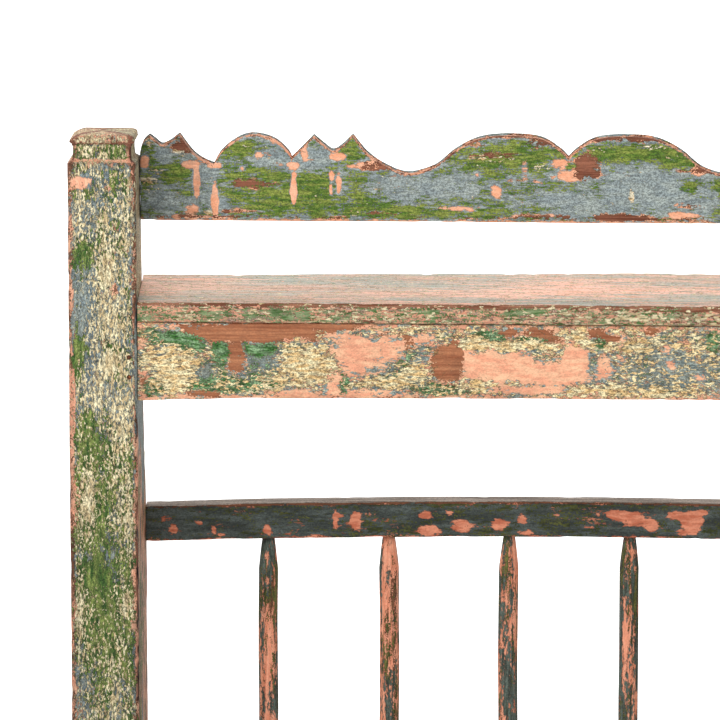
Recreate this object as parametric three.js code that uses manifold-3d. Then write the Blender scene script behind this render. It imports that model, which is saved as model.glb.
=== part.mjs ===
// A painted two-seat church pew with a book shelf along its back, in millimetres, +Z up.
// The book shelf faces -Y and the sitter faces +Y. X runs along the pew, with its middle at X = 0.
// Every rail has tenons that enter mortises in the posts or legs, and pegs or nails lock them.
// While the pieces are made, y = 0 is the back face of the rear posts; the last group centres them.
import * as THREE from 'three';
import { mergeVertices } from 'three/addons/utils/BufferGeometryUtils.js';
import Module from 'manifold-3d';

const wasm = await Module();
wasm.setup();

// ---- driving dimensions ----
const pewWidth = 918; // over the outer faces of the posts
const jointGap = 0.3; // air between two pieces that touch
const shoulderGap = 0.8; // open joint where the shrunken crest rail meets its posts

const postWidth = 63;
const postHeight = 1112; // back edge of the sloped shoulder under the finial
const headSlope = 0.13; // fall of the post's head per millimetre towards the seat
const postTopDepth = 76;
const postNeckDepth = 98; // where the slender upper post ends and the swelling starts
const postNeckZ = 930;
const postBodyDepth = 150;
const postBodyZ = 690; // the swelling ends here, and the post is full depth below
const postKneeZ = 300; // the leg tapers from here down
const postFootDepth = 108;

const finialInset = 4.2; // ledge left round the finial's neck
const finialWaist = 0.6; // how much further the cove under the cap cuts in than its top
const finialNeckRise = 17.4;
const finialBevelRise = 3.6;
const finialCapRise = 4.2;
const finialPeakRise = 2;
const finialCapInset = 1.4;
const finialRoot = 3; // the turning starts this far inside the post

const crestBottomZ = 1044.6;
const crestRise = 82.5; // bottom edge to the highest lobe
const crestThickness = 20;
const crestBackY = 55; // its back face, measured from the posts' back faces
const crestTenonRise = 52; // top of the crest's tenon, above the board's bottom edge
const crestPegRise = 29;

const shelfTopZ = 979.5;
const shelfThickness = 19;
const shelfRecess = 3; // set back of shelf and apron behind the posts' back faces
const shelfDepth = 112;
const shelfHousing = 10; // how far the shelf's ends are let into the posts
const shelfHousedDepth = 70; // front arris of the shelf to the seat-side end of its housing

const apronHeight = 70;
const apronThickness = 20;

const railHeight = 35; // the two rails that hold the spindles
const railThickness = 21;
const railBackY = 126;
const upperRailTopZ = 750.3; // at its ends; it bows upwards to its middle
const upperRailCamber = 7.7;
const lowerRailTopZ = 492;

const spindleCount = 6;
const spindleRadius = 9.2;
const spindleShift = 2.4; // the row of spindles stands a little off the middle
const spindleNeckRadius = 5.2;
const spindleTaper = 31;
const spindleTenon = 18;
const spindleFacets = 10;
const taperBend = [0.55, 0.86]; // where the taper bends: share of its length and of the radius

const seatTopZ = 420;
const seatThickness = 20;
const seatFrontY = 520;
const seatBackY = 124;
const plankCount = 4;
const plankGap = 3;

const seatRailHeight = 68;
const seatRailThickness = 24;
const bearerWidth = 44;
const bearerHeight = 46;

const legSize = 42;
const seatNosing = 22; // front edge of the seat to the front faces of the legs
const legFrontY = seatFrontY - seatNosing;
const armTopZ = 668;
const armThickness = 28;
const armOverhang = 20; // front of the leg to the tip of the arm

const stretcherZ = 120;
const stretcherHeight = 38;
const stretcherThickness = 22;

const tenonLength = 24;
const tenonShoulder = 6; // wood left round a tenon
const tenonRoot = 1; // overlap of a tenon with the board it is cut on
const pegRadius = 3.4;
const slimPegRadius = 2.4;
const pegFlush = 0.4; // pegs stop this far below the face they enter
const pegRun = 14; // how far a peg starts before the tenon that it locks
const seatPegInset = 8; // seat-rail pegs to the shoulder line
const pegStagger = 12; // keeps the side rail's peg clear of the rear rail's peg
const rodSides = 10;
const nailShankRadius = 1.5;
const nailHeadRadius = 2.8;
const nailHeadThickness = 1.2;
const nailLength = 34;
const nailPoint = 6;
const nailInset = 7.4; // nails to the shoulder line of the joint that they hold
const nailShares = [['upper', 0.54], ['lower', 0.27]]; // their heights as shares of the apron's

// ---- places worked out from the dimensions ----
const outerX = pewWidth / 2;
const innerX = outerX - postWidth;
const legInnerX = outerX - legSize;
const legBackY = legFrontY - legSize;
const shelfBottomZ = shelfTopZ - shelfThickness;
const apronTopZ = shelfBottomZ - jointGap;
const apronBottomZ = apronTopZ - apronHeight;
const upperRailBottomZ = upperRailTopZ - railHeight;
const lowerRailBottomZ = lowerRailTopZ - railHeight;
const seatBottomZ = seatTopZ - seatThickness;
const seatRailTopZ = seatBottomZ - jointGap;
const seatRailBottomZ = seatRailTopZ - seatRailHeight;
const rearSeatRailY = postBodyDepth - seatRailThickness - tenonShoulder;
const frontSeatRailY = legBackY + (legSize - seatRailThickness) / 2;
const sideRailX = legInnerX + (legSize - seatRailThickness) / 2; // inner face of a side rail
const armBottomZ = armTopZ - armThickness;
const spindlePitch = (2 * innerX) / (spindleCount + 1);
const spindleY = railBackY + railThickness / 2;

// ---- finishes ----
const paint = (color, roughness = 0.8) => new THREE.MeshStandardMaterial({ color, roughness, metalness: 0 });
const colours = {
  post: 0xa3a080,
  crest: 0x8a9165,
  shelf: 0xd9b8a6,
  apron: 0xc0a580,
  rail: 0x4a4a42,
  spindle: 0x8a6448,
  seat: 0xb48c6c,
  frame: 0x8f8a68,
  peg: 0x8a4a30,
  iron: 0x4a3026,
};

// ---- making and joining solids ----
function solid(geometry) {
  geometry.deleteAttribute('normal');
  geometry.deleteAttribute('uv');
  const merged = mergeVertices(geometry, 1e-4);
  return new wasm.Manifold(new wasm.Mesh({
    numProp: 3,
    vertProperties: new Float32Array(merged.attributes.position.array),
    triVerts: new Uint32Array(merged.index.array),
  }));
}

// A block between two corners, whichever way round its X limits are given.
function block([xa, xb], [y0, y1], [z0, z1]) {
  const geometry = new THREE.BoxGeometry(Math.abs(xb - xa), y1 - y0, z1 - z0);
  geometry.translate((xa + xb) / 2, (y0 + y1) / 2, (z0 + z1) / 2);
  return solid(geometry);
}

// The same block grown by the joint gap on every side, to cut its mortise.
function clearance([xa, xb], [y0, y1], [z0, z1], gap = jointGap) {
  const low = Math.min(xa, xb) - gap;
  const high = Math.max(xa, xb) + gap;
  return block([low, high], [y0 - gap, y1 + gap], [z0 - gap, z1 + gap]);
}

function extrude(points, depth) {
  return new THREE.ExtrudeGeometry(new THREE.Shape(points), { depth, bevelEnabled: false });
}

// A side view in Y and Z, given thickness along X.
function sawnAlongX(points, [xa, xb]) {
  const geometry = extrude(points, Math.abs(xb - xa));
  const turn = new THREE.Matrix4().makeBasis(
    new THREE.Vector3(0, 1, 0),
    new THREE.Vector3(0, 0, 1),
    new THREE.Vector3(1, 0, 0),
  );
  geometry.applyMatrix4(turn);
  geometry.translate(Math.min(xa, xb), 0, 0);
  return solid(geometry);
}

// A front view in X and Z, given thickness along Y.
function sawnAlongY(points, [y0, y1]) {
  const geometry = extrude(points, y1 - y0);
  geometry.rotateX(Math.PI / 2);
  geometry.translate(0, y1, 0);
  return solid(geometry);
}

// A round rod along Y or X, for pegs and the holes they fill.
function rodAlongY(x, [y0, y1], z, radius) {
  const geometry = new THREE.CylinderGeometry(radius, radius, y1 - y0, rodSides);
  geometry.translate(x, (y0 + y1) / 2, z);
  return solid(geometry);
}

function rodAlongX([xa, xb], y, z, radius) {
  const geometry = new THREE.CylinderGeometry(radius, radius, Math.abs(xb - xa), rodSides);
  geometry.rotateZ(Math.PI / 2);
  geometry.translate((xa + xb) / 2, y, z);
  return solid(geometry);
}

const joined = (...parts) => parts.reduce((whole, part) => whole.add(part));
const cut = (whole, ...tools) => tools.reduce((left, tool) => left.subtract(tool), whole);

// A named mesh whose own origin is the middle of its piece.
function piece(name, manifold, color) {
  const { vertProperties, triVerts } = manifold.getMesh();
  const geometry = new THREE.BufferGeometry();
  geometry.setAttribute('position', new THREE.BufferAttribute(new Float32Array(vertProperties), 3));
  geometry.setIndex(new THREE.BufferAttribute(new Uint32Array(triVerts), 1));
  geometry.computeBoundingBox();
  const middle = geometry.boundingBox.getCenter(new THREE.Vector3());
  geometry.translate(-middle.x, -middle.y, -middle.z);
  geometry.computeVertexNormals();
  const mesh = new THREE.Mesh(geometry, paint(color));
  mesh.name = name;
  mesh.position.copy(middle);
  return mesh;
}

const sides = [['left', -1], ['right', 1]];

// ---- joints: tenons as [x limits, y limits, z limits], for the side s = -1 or 1 ----
const across = (s, from, to) => [s * from, s * to];

const crestTenon = (s) => [
  across(s, innerX - tenonRoot, innerX + tenonLength),
  [crestBackY + tenonShoulder - 1, crestBackY + crestThickness - tenonShoulder + 1],
  [crestBottomZ + tenonShoulder, crestBottomZ + crestTenonRise],
];
const shelfEnd = (s) => [
  across(s, innerX - tenonRoot, innerX + shelfHousing),
  [shelfRecess + tenonShoulder, shelfRecess + shelfHousedDepth],
  [shelfBottomZ, shelfTopZ],
];
const apronTenon = (s) => [
  across(s, innerX - tenonRoot, innerX + tenonLength),
  [shelfRecess + tenonShoulder - 1, shelfRecess + apronThickness - tenonShoulder + 1],
  [apronBottomZ + tenonShoulder, apronTopZ - tenonShoulder],
];
const railTenon = (s, bottomZ) => [
  across(s, innerX - tenonRoot, innerX + tenonLength),
  [railBackY + tenonShoulder - 1, railBackY + railThickness - tenonShoulder + 1],
  [bottomZ + tenonShoulder, bottomZ + railHeight - tenonShoulder],
];
const rearSeatRailTenon = (s) => [
  across(s, innerX - tenonRoot, innerX + tenonLength),
  [rearSeatRailY + tenonShoulder, rearSeatRailY + seatRailThickness - tenonShoulder],
  [seatRailBottomZ + tenonShoulder, seatRailTopZ - tenonShoulder * 2],
];
const frontSeatRailTenon = (s) => [
  across(s, legInnerX - tenonRoot, legInnerX + tenonLength / 2),
  [frontSeatRailY + tenonShoulder, frontSeatRailY + seatRailThickness - tenonShoulder],
  [seatRailBottomZ + tenonShoulder, seatRailTopZ - tenonShoulder * 2],
];
// A side rail or stretcher runs front to back; its tenons enter the post and the leg along Y.
const sideTenon = (s, x, thickness, [y0, y1], [z0, z1]) => [
  across(s, x + tenonShoulder, x + thickness - tenonShoulder),
  [y0, y1],
  [z0 + tenonShoulder, z1 - tenonShoulder],
];
const sideRailTenons = (s) => {
  const z = [seatRailBottomZ, seatRailTopZ];
  const back = [postBodyDepth - pegRun, postBodyDepth + tenonRoot];
  const front = [legBackY - tenonRoot, legBackY + tenonLength / 3];
  return [back, front].map((y) => sideTenon(s, sideRailX, seatRailThickness, y, z));
};
const stretcherTenons = (s) => {
  const z = [stretcherZ, stretcherZ + stretcherHeight];
  const x = legInnerX + (legSize - stretcherThickness) / 2;
  const backFace = postDepthAt(stretcherZ);
  const back = [backFace - tenonLength / 2, postBodyDepth];
  const front = [legBackY - tenonRoot, legBackY + tenonLength / 2];
  return [back, front].map((y) => sideTenon(s, x, stretcherThickness, y, z));
};
const armTenons = (s) => [
  [
    across(s, legInnerX + tenonShoulder * 2, outerX - tenonShoulder * 2),
    [postBodyDepth - tenonLength, postBodyDepth + tenonRoot],
    [armBottomZ + tenonShoulder, armTopZ - tenonShoulder],
  ],
];
const legTenon = (s) => [
  across(s, legInnerX + tenonShoulder * 2, outerX - tenonShoulder * 2),
  [legBackY + tenonShoulder * 2, legFrontY - tenonShoulder * 2],
  [armBottomZ - tenonRoot, armTopZ - tenonShoulder],
];

// ---- pegs and nails: the hole is the same rod with the joint gap round it ----
const pegs = [];
function addPeg(name, axis, place, radius = pegRadius) {
  pegs.push({
    name,
    body: axis === 'y' ? rodAlongY(...place, radius) : rodAlongX(...place, radius),
    hole: axis === 'y' ? rodAlongY(...place, radius + jointGap) : rodAlongX(...place, radius + jointGap),
  });
}
const pegHoles = (...names) => pegs.filter(({ name }) => names.includes(name)).map(({ hole }) => hole);

// Depth of a rear post at a height: tapered head, smooth swelling, full body, tapered leg.
function postDepthAt(z) {
  if (z >= postNeckZ) {
    const up = (z - postNeckZ) / (postHeight - postNeckZ);
    return postNeckDepth + (postTopDepth - postNeckDepth) * up;
  }
  if (z >= postBodyZ) {
    const down = (postNeckZ - z) / (postNeckZ - postBodyZ);
    return postNeckDepth + (postBodyDepth - postNeckDepth) * down * down * (3 - 2 * down);
  }
  if (z >= postKneeZ) {
    return postBodyDepth;
  }
  return postFootDepth + (postBodyDepth - postFootDepth) * (z / postKneeZ);
}

for (const [side, s] of sides) {
  const inPost = s * (innerX + tenonLength / 2);
  const crestZ = crestBottomZ + crestPegRise;
  const crestPegY = [crestBackY - pegRun, postDepthAt(crestZ) - pegFlush];
  addPeg(`crest_peg_${side}`, 'y', [inPost, crestPegY, crestZ]);
  const lowEnd = postBodyDepth - pegFlush;
  const pegStart = railBackY - pegRun;
  const upperZ = upperRailBottomZ + railHeight / 2;
  addPeg(`upper_rail_peg_${side}`, 'y', [inPost, [pegStart, postDepthAt(upperZ + 4) - pegFlush], upperZ]);
  addPeg(`lower_rail_peg_${side}`, 'y', [inPost, [pegStart, lowEnd], lowerRailBottomZ + railHeight / 2]);
  const seatPegZ = seatRailBottomZ + seatRailHeight / 2;
  const rearPegX = s * (innerX + seatPegInset);
  const rearPegY = [rearSeatRailY - pegRun / 2, lowEnd];
  addPeg(`rear_seat_rail_peg_${side}`, 'y', [rearPegX, rearPegY, seatPegZ - seatPegInset]);
  const frontPegX = s * (legInnerX + tenonLength / 4);
  const frontPegY = [frontSeatRailY + tenonShoulder / 3, legFrontY - pegFlush];
  addPeg(`front_seat_rail_peg_${side}`, 'y', [frontPegX, frontPegY, seatPegZ], slimPegRadius);
  const outerFace = outerX - pegFlush;
  const sidePegX = [s * (sideRailX - 2), s * outerFace];
  addPeg(`side_rail_peg_${side}_rear`, 'x', [sidePegX, postBodyDepth - pegRun / 2, seatPegZ + pegStagger]);
  const armPegX = [s * (legInnerX + tenonShoulder), s * outerFace];
  const armPegZ = armBottomZ + (armThickness - tenonShoulder) / 2 + 1;
  addPeg(`arm_peg_${side}_rear`, 'x', [armPegX, postBodyDepth - tenonLength / 2, armPegZ]);
  addPeg(`arm_peg_${side}_front`, 'x', [armPegX, legFrontY - legSize / 2, armPegZ]);
}

// Hand-forged nail, driven from the post's back face through the tenon of the apron.
function nailSolid(x, z, grow = 0) {
  const profile = [
    [0, 0],
    [nailHeadRadius + grow, 0],
    [nailHeadRadius + grow, nailHeadThickness + grow],
    [nailShankRadius + grow, nailHeadThickness + grow],
    [nailShankRadius + grow, nailLength - nailPoint],
    [0, nailLength + grow],
  ].map(([r, y]) => new THREE.Vector2(r, y));
  const geometry = new THREE.LatheGeometry(profile, rodSides);
  geometry.translate(x, pegFlush - grow, z);
  return solid(geometry);
}
const apronNails = sides.flatMap(([side, s]) => nailShares.map(([level, share]) => {
  const x = s * (innerX + nailInset);
  const z = apronBottomZ + apronHeight * share;
  return {
    name: `apron_nail_${side}_${level}`,
    side,
    body: nailSolid(x, z),
    hole: nailSolid(x, z, jointGap),
  };
}));
const nailHoles = (side) => apronNails.filter((nail) => nail.side === side).map(({ hole }) => hole);

// ---- rear posts, each sawn from one plank with its finial carved on the end ----
function postOutline() {
  const steps = 10;
  const outline = [[0, 0], [postFootDepth, 0], [postBodyDepth, postKneeZ]];
  for (let i = 0; i <= steps; i += 1) {
    const z = postBodyZ + ((postNeckZ - postBodyZ) * i) / steps;
    outline.push([postDepthAt(z), z]);
  }
  outline.push([postTopDepth, postHeight - headSlope * postTopDepth], [0, postHeight]);
  return outline.map(([y, z]) => new THREE.Vector2(y, z));
}

// A square turning: a four-sided lathe, stretched to the post's section and sheared to its slope.
function finial(s) {
  const half = postWidth / 2;
  const neckTop = postHeight + finialNeckRise;
  const capBottom = neckTop + finialBevelRise;
  const capTop = capBottom + finialCapRise;
  const profile = [
    [0, postHeight - finialRoot],
    [half - finialInset, postHeight - finialRoot],
    [half - finialInset, postHeight + 1],
    [half - finialInset - finialWaist, postHeight + finialNeckRise / 3],
    [half - finialInset + finialWaist, neckTop],
    [half - finialCapInset, capBottom],
    [half - finialCapInset, capTop],
    [0, capTop + finialPeakRise],
  ].map(([side, z]) => new THREE.Vector2(side * Math.SQRT2, z));
  const geometry = new THREE.LatheGeometry(profile, 4, Math.PI / 4);
  geometry.rotateX(Math.PI / 2);
  geometry.scale(1, postTopDepth / postWidth, 1);
  geometry.translate(s * (outerX - half), postTopDepth / 2, 0);
  const shear = new THREE.Matrix4().set(1, 0, 0, 0, 0, 1, 0, 0, 0, -headSlope, 1, 0, 0, 0, 0, 1);
  geometry.applyMatrix4(shear);
  return solid(geometry);
}

function rearPost(side, s) {
  const blank = joined(sawnAlongX(postOutline(), across(s, innerX, outerX)), finial(s));
  return cut(
    blank,
    clearance(...crestTenon(s)),
    clearance(...shelfEnd(s)),
    clearance(...apronTenon(s)),
    clearance(...railTenon(s, upperRailBottomZ)),
    clearance(...railTenon(s, lowerRailBottomZ)),
    clearance(...rearSeatRailTenon(s)),
    clearance(...sideRailTenons(s)[0]),
    clearance(...stretcherTenons(s)[0]),
    clearance(...armTenons(s)[0]),
    ...pegs.filter(({ name }) => name.includes(side) && !name.includes('front')).map(({ hole }) => hole),
    ...nailHoles(side),
  );
}

// ---- crest rail: a sawn skyline of horns and lobes, the same on both sides of the middle ----
// Each stretch runs between two sharp points. Places are millimetres from the middle of the pew
// and below the highest lobe, on the pattern's own half length, and are stretched to fit the posts.
const patternHalf = 396;
const crestStretches = [
  [[396, 17], [393, 8], [387.5, 2.4]],
  [[387.5, 2.4], [382, 6.5], [376, 11], [369, 8.5], [359.6, 1.2]],
  [[359.6, 1.2], [348, 17], [338, 25], [328, 29.3]],
  [[328, 29.3], [320, 16], [304, 4], [289, 0.8], [271, 6], [259, 17], [256, 23]],
  [[256, 23], [246, 13], [235.5, 1.8]],
  [[235.5, 1.8], [226, 10], [217.4, 15.5], [209, 10.5], [199.4, 1.2]],
  [[199.4, 1.2], [185, 18.5], [168, 30], [148.5, 36.5], [124, 30], [104, 14], [82, 3], [56, 0],
    [26.5, 2.5], [8, 13], [0, 21]],
];

function crestSkyline() {
  const stretch = (innerX - shoulderGap) / patternHalf;
  const topZ = crestBottomZ + crestRise;
  const half = crestStretches.flatMap((stops, index) => {
    const curve = new THREE.SplineCurve(stops.map(([x, drop]) => new THREE.Vector2(-x * stretch, topZ - drop)));
    const points = curve.getPoints((stops.length - 1) * 3);
    return index === 0 ? points : points.slice(1);
  });
  const mirrored = half.slice(0, -1).reverse().map(({ x, y }) => new THREE.Vector2(-x, y));
  return [...half, ...mirrored];
}

function crestRail() {
  const endX = innerX - shoulderGap;
  const outline = [
    new THREE.Vector2(-endX, crestBottomZ),
    ...crestSkyline(),
    new THREE.Vector2(endX, crestBottomZ),
  ];
  const board = sawnAlongY(outline.reverse(), [crestBackY, crestBackY + crestThickness]);
  const tenons = sides.map(([, s]) => {
    const [[xa, xb], y, z] = crestTenon(s);
    return block([xa - s * 2, xb], y, z);
  });
  return cut(joined(board, ...tenons), ...pegHoles('crest_peg_left', 'crest_peg_right'));
}

// ---- book shelf and the apron that carries its front edge ----
function shelfBoard() {
  const half = innerX - jointGap;
  const board = block([-half, half], [shelfRecess, shelfRecess + shelfDepth], [shelfBottomZ, shelfTopZ]);
  return joined(board, ...sides.map(([, s]) => block(...shelfEnd(s))));
}

function shelfApron() {
  const half = innerX - jointGap;
  const board = block([-half, half], [shelfRecess, shelfRecess + apronThickness], [apronBottomZ, apronTopZ]);
  const whole = joined(board, ...sides.map(([, s]) => block(...apronTenon(s))));
  return cut(whole, ...nailHoles('left'), ...nailHoles('right'));
}

// ---- spindle back ----
function spindleProfile(top) {
  const bottom = lowerRailTopZ;
  const shoulder = spindleNeckRadius;
  const bendRise = spindleTaper * taperBend[0];
  const bendRadius = spindleRadius * taperBend[1];
  return [
    [0, bottom - spindleTenon],
    [shoulder, bottom - spindleTenon],
    [shoulder, bottom + 1],
    [bendRadius, bottom + bendRise],
    [spindleRadius, bottom + spindleTaper],
    [spindleRadius, top - spindleTaper],
    [bendRadius, top - bendRise],
    [shoulder, top - 1],
    [shoulder, top + spindleTenon],
    [0, top + spindleTenon],
  ].map(([r, z]) => new THREE.Vector2(r, z));
}

const spindleX = (index) => -innerX + spindlePitch * index + spindleShift;
const bowAt = (x, camber) => camber * (1 - (x / innerX) ** 2);

function spindle(index) {
  const top = upperRailBottomZ + bowAt(spindleX(index), upperRailCamber);
  const geometry = new THREE.LatheGeometry(spindleProfile(top), spindleFacets);
  geometry.rotateX(Math.PI / 2);
  geometry.translate(spindleX(index), spindleY, 0);
  return solid(geometry);
}

// The holes run from just outside the rail to just past the ends of the tenons.
function spindleHoles(camber, [z0, z1]) {
  return Array.from({ length: spindleCount }, (_, i) => {
    const x = spindleX(i + 1);
    const radius = spindleNeckRadius + jointGap;
    const geometry = new THREE.CylinderGeometry(radius, radius, z1 - z0, 16);
    geometry.rotateX(Math.PI / 2);
    geometry.translate(x, spindleY, (z0 + z1) / 2 + bowAt(x, camber));
    return solid(geometry);
  });
}

function spindleRail(bottomZ, camber, holeZ, pegNames) {
  const half = innerX - jointGap;
  const steps = 24;
  const bowed = (z) => Array.from({ length: steps + 1 }, (_, i) => {
    const x = half * (-1 + (2 * i) / steps);
    return new THREE.Vector2(x, z + bowAt(x, camber));
  });
  const outline = [...bowed(bottomZ), ...bowed(bottomZ + railHeight).reverse()];
  const board = sawnAlongY(outline, [railBackY, railBackY + railThickness]);
  const whole = joined(board, ...sides.map(([, s]) => block(...railTenon(s, bottomZ))));
  return cut(whole, ...spindleHoles(camber, holeZ), ...pegHoles(...pegNames));
}

// ---- seat frame ----
function rearSeatRail() {
  const half = innerX - jointGap;
  const y = [rearSeatRailY, rearSeatRailY + seatRailThickness];
  const board = block([-half, half], y, [seatRailBottomZ, seatRailTopZ]);
  const whole = joined(board, ...sides.map(([, s]) => block(...rearSeatRailTenon(s))));
  const housing = clearance(...bearerBody());
  return cut(whole, housing, ...pegHoles('rear_seat_rail_peg_left', 'rear_seat_rail_peg_right'));
}

function frontSeatRail() {
  const half = legInnerX - jointGap;
  const y = [frontSeatRailY, frontSeatRailY + seatRailThickness];
  const board = block([-half, half], y, [seatRailBottomZ, seatRailTopZ]);
  const whole = joined(board, ...sides.map(([, s]) => block(...frontSeatRailTenon(s))));
  const housing = clearance(...bearerBody());
  return cut(whole, housing, ...pegHoles('front_seat_rail_peg_left', 'front_seat_rail_peg_right'));
}

// The bearer under the middle of the seat is let a third of the way into both seat rails.
function bearerBody() {
  const housing = seatRailThickness / 3;
  return [
    [-bearerWidth / 2, bearerWidth / 2],
    [rearSeatRailY + seatRailThickness - housing, frontSeatRailY + housing],
    [seatRailTopZ - bearerHeight, seatRailTopZ],
  ];
}

function sideSeatRail(side, s) {
  const y = [postBodyDepth + jointGap, legBackY - jointGap];
  const x = across(s, sideRailX, sideRailX + seatRailThickness);
  const board = block(x, y, [seatRailBottomZ, seatRailTopZ]);
  const whole = joined(board, ...sideRailTenons(s).map((tenon) => block(...tenon)));
  return cut(whole, ...pegHoles(`side_rail_peg_${side}_rear`));
}

function frontLeg(side, s) {
  const leg = block(across(s, legInnerX, outerX), [legBackY, legFrontY], [0, armBottomZ - jointGap]);
  return cut(
    joined(leg, block(...legTenon(s))),
    clearance(...frontSeatRailTenon(s)),
    clearance(...sideRailTenons(s)[1]),
    clearance(...stretcherTenons(s)[1]),
    ...pegHoles(`front_seat_rail_peg_${side}`, `arm_peg_${side}_front`),
  );
}

// The arm is a straight bar with a rounded nose that runs past the front leg.
function arm(side, s) {
  const back = postBodyDepth + jointGap;
  const front = legFrontY + armOverhang;
  const nose = armThickness / 2;
  const noseSteps = 8;
  const outline = [new THREE.Vector2(back, armBottomZ), new THREE.Vector2(front - nose, armBottomZ)];
  for (let i = 1; i < noseSteps; i += 1) {
    const turn = -Math.PI / 2 + (Math.PI * i) / noseSteps;
    const y = front - nose + nose * Math.cos(turn);
    outline.push(new THREE.Vector2(y, armBottomZ + nose + nose * Math.sin(turn)));
  }
  outline.push(new THREE.Vector2(front - nose, armTopZ), new THREE.Vector2(back, armTopZ));
  const whole = joined(sawnAlongX(outline, across(s, legInnerX, outerX)), block(...armTenons(s)[0]));
  return cut(
    whole,
    clearance(...legTenon(s)),
    ...pegHoles(`arm_peg_${side}_rear`, `arm_peg_${side}_front`),
  );
}

// ---- seat planks, the outer two notched round the posts and the legs ----
function seatPlank(index) {
  const width = (seatFrontY - seatBackY - plankGap * (plankCount - 1)) / plankCount;
  const y0 = seatBackY + (width + plankGap) * index;
  const plank = block([-outerX, outerX], [y0, y0 + width], [seatBottomZ, seatTopZ]);
  const notches = sides.flatMap(([, s]) => [
    clearance(across(s, innerX, outerX + 5), [0, postBodyDepth], [seatBottomZ - 5, seatTopZ + 5]),
    clearance(across(s, legInnerX, outerX + 5), [legBackY, legFrontY], [seatBottomZ - 5, seatTopZ + 5]),
  ]);
  return cut(plank, ...notches);
}

// ---- H-shaped stretcher near the floor ----
function sideStretcher(s) {
  const x = legInnerX + (legSize - stretcherThickness) / 2;
  const z = [stretcherZ, stretcherZ + stretcherHeight];
  const backY = postDepthAt(stretcherZ + stretcherHeight) + jointGap;
  const board = block(across(s, x, x + stretcherThickness), [backY, legBackY - jointGap], z);
  const whole = joined(board, ...stretcherTenons(s).map((tenon) => block(...tenon)));
  return cut(whole, clearance(...crossTenon(s)));
}

function crossPlace() {
  const middle = (postFootDepth + legBackY) / 2;
  return [middle - stretcherThickness / 2, middle + stretcherThickness / 2];
}

function crossTenon(s) {
  const x = legInnerX + (legSize - stretcherThickness) / 2;
  const [y0, y1] = crossPlace();
  return [
    across(s, x - 1, x + stretcherThickness / 2),
    [y0 + tenonShoulder, y1 - tenonShoulder],
    [stretcherZ + tenonShoulder, stretcherZ + stretcherHeight - tenonShoulder],
  ];
}

function crossStretcher() {
  const half = legInnerX + (legSize - stretcherThickness) / 2 - jointGap;
  const board = block([-half, half], crossPlace(), [stretcherZ, stretcherZ + stretcherHeight]);
  return joined(board, ...sides.map(([, s]) => block(...crossTenon(s))));
}

// ---- the assembly ----
const backFrame = new THREE.Group();
const seatFrame = new THREE.Group();
const fixings = new THREE.Group();

for (const [side, s] of sides) {
  backFrame.add(piece(`rear_post_${side}`, rearPost(side, s), colours.post));
  seatFrame.add(piece(`front_leg_${side}`, frontLeg(side, s), colours.frame));
  seatFrame.add(piece(`arm_${side}`, arm(side, s), colours.frame));
  seatFrame.add(piece(`side_seat_rail_${side}`, sideSeatRail(side, s), colours.frame));
  seatFrame.add(piece(`side_stretcher_${side}`, sideStretcher(s), colours.frame));
}
backFrame.add(piece('crest_rail', crestRail(), colours.crest));
backFrame.add(piece('shelf_board', shelfBoard(), colours.shelf));
backFrame.add(piece('shelf_apron', shelfApron(), colours.apron));

const upperHoles = [upperRailBottomZ - 1, upperRailBottomZ + spindleTenon + 1];
const lowerHoles = [lowerRailTopZ - spindleTenon - 1, lowerRailTopZ + 1];
const pegPair = (name) => sides.map(([side]) => `${name}_${side}`);
const upperRail = spindleRail(upperRailBottomZ, upperRailCamber, upperHoles, pegPair('upper_rail_peg'));
const lowerRail = spindleRail(lowerRailBottomZ, 0, lowerHoles, pegPair('lower_rail_peg'));
backFrame.add(piece('spindle_rail_upper', upperRail, colours.rail));
backFrame.add(piece('spindle_rail_lower', lowerRail, colours.rail));
for (let i = 1; i <= spindleCount; i += 1) {
  backFrame.add(piece(`spindle_${i}`, spindle(i), colours.spindle));
}

seatFrame.add(piece('rear_seat_rail', rearSeatRail(), colours.frame));
seatFrame.add(piece('front_seat_rail', frontSeatRail(), colours.frame));
seatFrame.add(piece('seat_bearer', block(...bearerBody()), colours.frame));
seatFrame.add(piece('cross_stretcher', crossStretcher(), colours.frame));
for (let i = 0; i < plankCount; i += 1) {
  seatFrame.add(piece(`seat_plank_${i + 1}`, seatPlank(i), colours.seat));
}

for (const { name, body } of pegs) {
  fixings.add(piece(name, body, colours.peg));
}
for (const { name, body } of apronNails) {
  fixings.add(piece(name, body, colours.iron));
}

const pew = new THREE.Group();
pew.add(backFrame, seatFrame, fixings);
pew.position.y = -seatFrontY / 2;

export default pew;
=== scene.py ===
# A painted church pew with a book shelf behind its back: old paint flaking off sawn wood.
# Pieces are worked out in millimetres in the pew's own frame (+Z up, the shelf side towards -Y)
# and turned to metres as their meshes are made.
from functools import partial

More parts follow.
